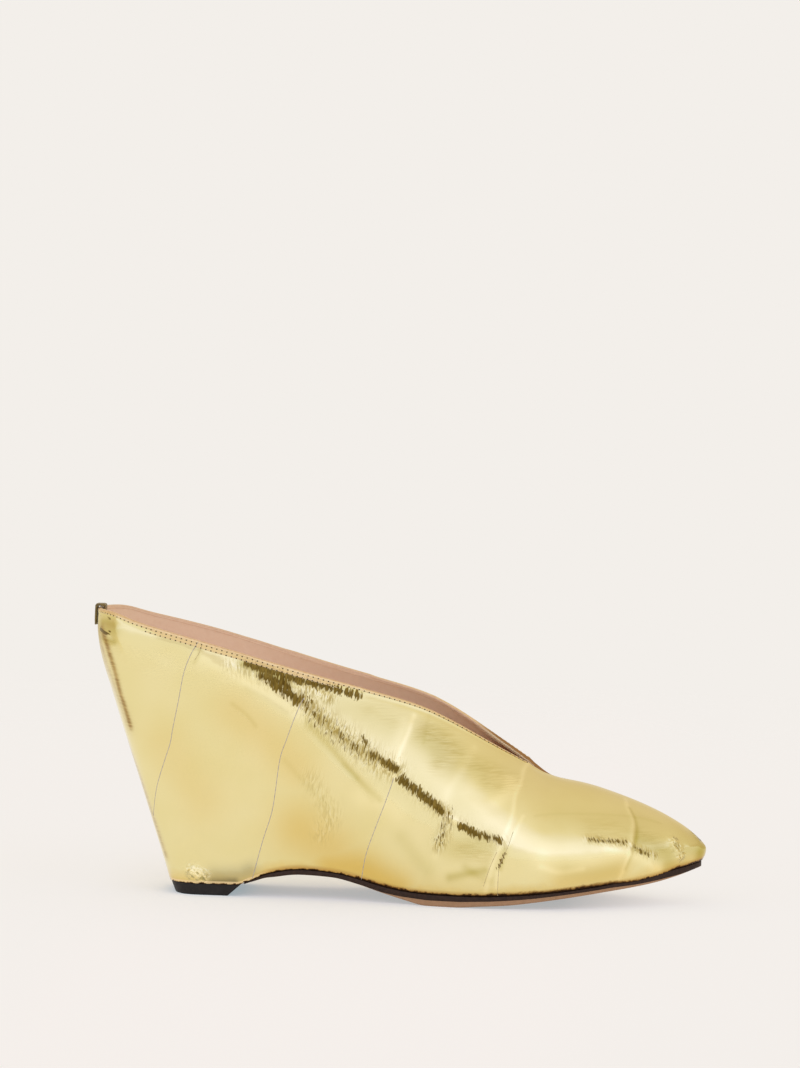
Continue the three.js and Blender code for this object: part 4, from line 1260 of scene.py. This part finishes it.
def seam_lines(name, material, width, lines):
    """Thin raised cut edges between the strips of foil, slightly uneven in width."""
    points, faces = [], []
    for side in (OUT, IN):
        for places in lines:
            middle, ways = on_cover(even_steps(on_skin(side, places, 12), SEAM_PITCH), 0.0)
            side_way = np.cross(ways, np.gradient(middle, axis=0))
            side_way /= np.linalg.norm(side_way, axis=1, keepdims=True)
            faces += grid_faces(len(middle), len(SEAM_SECTION), False, first=len(points))
            for n, (at, beside, way) in enumerate(zip(middle, side_way, ways)):
                wide = width / 2 * (0.75 + 0.25 * math.sin(n * 1.7) * math.cos(n * 0.61))
                points += [at + beside * wide * share + way * high for share, high in SEAM_SECTION]
    mesh_piece(name, points, faces, [material], "upper", covers=False)


seam_lines("seam_edges", seam_material, 0.42, [SEAM_1, SEAM_2, SEAM_3[5:]])
seam_lines("fine_seams", fine_seam_material, 0.28, FINE_SEAMS)


def rim_line(side, drop):
    """Line on the cover a distance below the collar, from the centre back to the throat."""
    line = []
    for j in range(collar - 1):
        column = j if side == OUT else -j % columns
        wanted = from_rim.reshape(level.shape)[:, column]
        line.append([np.interp(-(drop + wanted[-1]), -wanted, skin[:, column, n]) for n in range(3)])
    return np.array(line)


# Needle holes, dark discs of painted shade on the cover, with short threads between them. Towards the
# heel and the throat there is one row; in between, a second one lies close below. Each row: distance
# below the rim, and x from and to.
HOLE_PITCH = 2.05
HOLE_ROWS = ((0.55, 2, 172), (1.9, 22, 98))
HOLE_LONG, HOLE_WIDE, HOLE_CORNERS = 0.33, 0.28, 8
HOLE_ABOVE, HOLE_DOME = 0.02, 0.06
THREAD_RINGS, THREAD_CORNERS = 5, 6
THREAD_HALF, THREAD_ABOVE, THREAD_RISE = 0.17, 0.02, 0.16


def thread_rings(start, end, way, beside):
    """Rings round a thread from hole to hole, which rises in between and is thin at its ends."""
    points = []
    for share in np.linspace(0.12, 0.88, THREAD_RINGS):
        swell = math.sin(math.pi * share)
        thick = THREAD_HALF * math.sqrt(swell)
        middle = start + (end - start) * share + way * (THREAD_ABOVE + THREAD_RISE * swell)
        points += circle(middle, way * thick, beside * thick, THREAD_CORNERS)
    return points


def stitches():
    holes, hole_faces, threads, thread_faces = [], [], [], []
    for side in (OUT, IN):
        for drop, from_x, to_x in HOLE_ROWS:
            line = rim_line(side, drop)
            line = line[(line[:, 0] > from_x) & (line[:, 0] < to_x)]
            spots, ways = on_cover(even_steps(line, HOLE_PITCH), HOLE_ABOVE)
            ahead = np.gradient(spots, axis=0)
            ahead /= np.linalg.norm(ahead, axis=1, keepdims=True)
            for n, (spot, way, on) in enumerate(zip(spots, ways, ahead)):
                beside = np.cross(way, on)
                first = len(holes)
                rim = circle(spot, on * HOLE_LONG, beside * HOLE_WIDE, HOLE_CORNERS)
                holes += [spot + way * HOLE_DOME, *rim]
                hole_faces += [[first, first + 1 + m, first + 1 + (m + 1) % HOLE_CORNERS]
                               for m in range(HOLE_CORNERS)]
                if n + 1 < len(spots):
                    thread_faces += grid_faces(THREAD_RINGS, THREAD_CORNERS, True, first=len(threads))
                    threads += thread_rings(spot, spots[n + 1], way, beside)
    mesh_piece("stitch_holes", holes, hole_faces, [hole_material], "upper", covers=False)
    mesh_piece("stitch_threads", threads, thread_faces, [thread_material], "upper", covers=False)


stitches()

wedge_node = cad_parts["wedge"]
wedge_node.data.materials.clear()
wedge_node.data.materials.append(core_material)

# Floor: half lit and half glowing, with a fainter shadow ahead of the toe and behind the heel
FLOOR_RADIUS = 1.2


def floor_material():
    s = Shader("pale_floor")
    where = s.node("TexCoord").outputs["Object"]
    far = s.node("VectorMath", {0: where}, operation="LENGTH").outputs["Value"]
    ahead = s.node("SeparateXYZ", {0: where}).outputs["X"]
    faint = s.math("MAXIMUM", s.span(ahead, 0.065, 0.105), s.span(ahead, -0.125, -0.090, 1.0, 0.0))
    lit_tone = s.mix(faint, (0.727, 0.650, 0.622), (0.35, 0.315, 0.30))
    glow_tone = s.mix(faint, (0.295, 0.356, 0.383), (0.607, 0.617, 0.611))
    lit = s.node("BsdfDiffuse", {"Color": lit_tone}).outputs[0]
    glow = s.node("Emission", {"Color": glow_tone, "Strength": 1.0}).outputs[0]
    both = s.node("AddShader", {0: lit, 1: glow}).outputs[0]
    clear = s.node("BsdfTransparent").outputs[0]
    faded = s.node("MixShader", {0: s.span(far, 0.45, 0.95), 1: both, 2: clear}).outputs[0]
    s.put(s.output.inputs["Surface"], faded)
    return s.material


def floor():
    mesh = bpy.data.meshes.new("floor")
    x_way, y_way = np.array([FLOOR_RADIUS, 0, 0]), np.array([0, FLOOR_RADIUS, 0])
    ring = circle(np.zeros(3), x_way, y_way, 72)
    mesh.from_pydata([point.tolist() for point in ring], [], [list(range(len(ring)))])
    mesh.materials.append(floor_material())
    piece = bpy.data.objects.new("floor", mesh)
    bpy.context.scene.collection.objects.link(piece)


floor()

# Studio: tone by the angle over the shoe, from the camera's side, up over the top, to the far side
STUDIO = [
    (-90, (0.78, 0.70, 0.52)),
    (-42, (0.84, 0.76, 0.57)),
    (-34, (0.92, 0.88, 0.84)),
    (-6, (0.92, 0.89, 0.88)),
    (7, (0.92, 0.90, 0.92)),
    (20, (1.02, 1.03, 1.27)),
    (38, (1.02, 1.02, 1.22)),
    (50, (0.95, 0.93, 1.03)),
    (62, (0.90, 0.85, 0.785)),
    (88, (0.83, 0.75, 0.615)),
    (115, (0.80, 0.706, 0.56)),
    (150, (0.747, 0.637, 0.47)),
    (180, (0.78, 0.68, 0.54)),
]
# Where it is unlit on the camera's side, as angle and share, and its tone there
DARK_GAP = ((7.5, 0), (10.5, 1), (15.0, 1), (19.0, 0))
DARK_TONE = (0.62, 0.54, 0.38)
BACKDROP = (0.896, 0.863, 0.823)
LOWEST, HIGHEST = STUDIO[0][0], STUDIO[-1][0]


def studio():
    world = bpy.data.worlds.new("studio")
    bpy.context.scene.world = world
    world.use_nodes = True
    world.node_tree.nodes.clear()
    s = Nodes(world.node_tree)
    way = s.node("SeparateXYZ", {0: s.node("TexCoord").outputs["Generated"]}).outputs
    angle = s.math("ARCTAN2", way["Z"], s.times(way["Y"], -1.0))
    share = s.span(angle, LOWEST * DEG, HIGHEST * DEG)

    def stops(rows):
        return [((degrees - LOWEST) / (HIGHEST - LOWEST), tone) for degrees, tone in rows]

    lit = s.ramp(share, stops(STUDIO))
    gap = s.ramp(share, stops([(degrees, (value,) * 3) for degrees, value in DARK_GAP]))
    ahead = s.span(way["X"], 0.10, 0.28, 0.45, 0.04)
    behind = s.span(way["X"], -0.30, -0.12, 0.1, 1.0)
    tone = s.mix(s.times(gap, s.times(ahead, behind)), lit, DARK_TONE)
    light = s.node("Background", {"Color": tone}).outputs[0]
    flat = s.node("Background", {"Color": BACKDROP}).outputs[0]
    seen = s.node("LightPath").outputs["Is Camera Ray"]
    picked = s.node("MixShader", {0: seen, 1: light, 2: flat}).outputs[0]
    s.node("OutputWorld", {"Surface": picked})


studio()
bpy.context.scene.view_settings.view_transform = "Standard"

# Camera: a little towards the toe, looking slightly down and rolled
CAMERA_YAW = 4.0 * DEG
CAMERA_DOWN = 3.5 * DEG
CAMERA_ROLL = 1.3003 * DEG
CAMERA_AT = (270.975, -2185.02, 275.83)
CAMERA_LENS = 252.55
SENSOR_WIDTH = 36.0


def aimed_camera():
    data = bpy.data.cameras.new("camera")
    data.sensor_fit = "HORIZONTAL"
    data.sensor_width = SENSOR_WIDTH
    data.lens = CAMERA_LENS
    camera = bpy.data.objects.new("camera", data)
    bpy.context.scene.collection.objects.link(camera)
    right = Vector((math.cos(CAMERA_YAW), math.sin(CAMERA_YAW), 0))
    level_ahead = Vector((-math.sin(CAMERA_YAW), math.cos(CAMERA_YAW), 0))
    ahead = level_ahead * math.cos(CAMERA_DOWN) - Vector((0, 0, math.sin(CAMERA_DOWN)))
    above = right.cross(ahead)
    rolled_right = right * math.cos(CAMERA_ROLL) + above * math.sin(CAMERA_ROLL)
    rolled_above = above * math.cos(CAMERA_ROLL) - right * math.sin(CAMERA_ROLL)
    turn = Matrix((rolled_right, rolled_above, -ahead)).transposed().to_4x4()
    camera.matrix_world = Matrix.Translation(Vector(to_frame(CAMERA_AT))) @ turn
    return camera


bpy.context.scene.camera = aimed_camera()
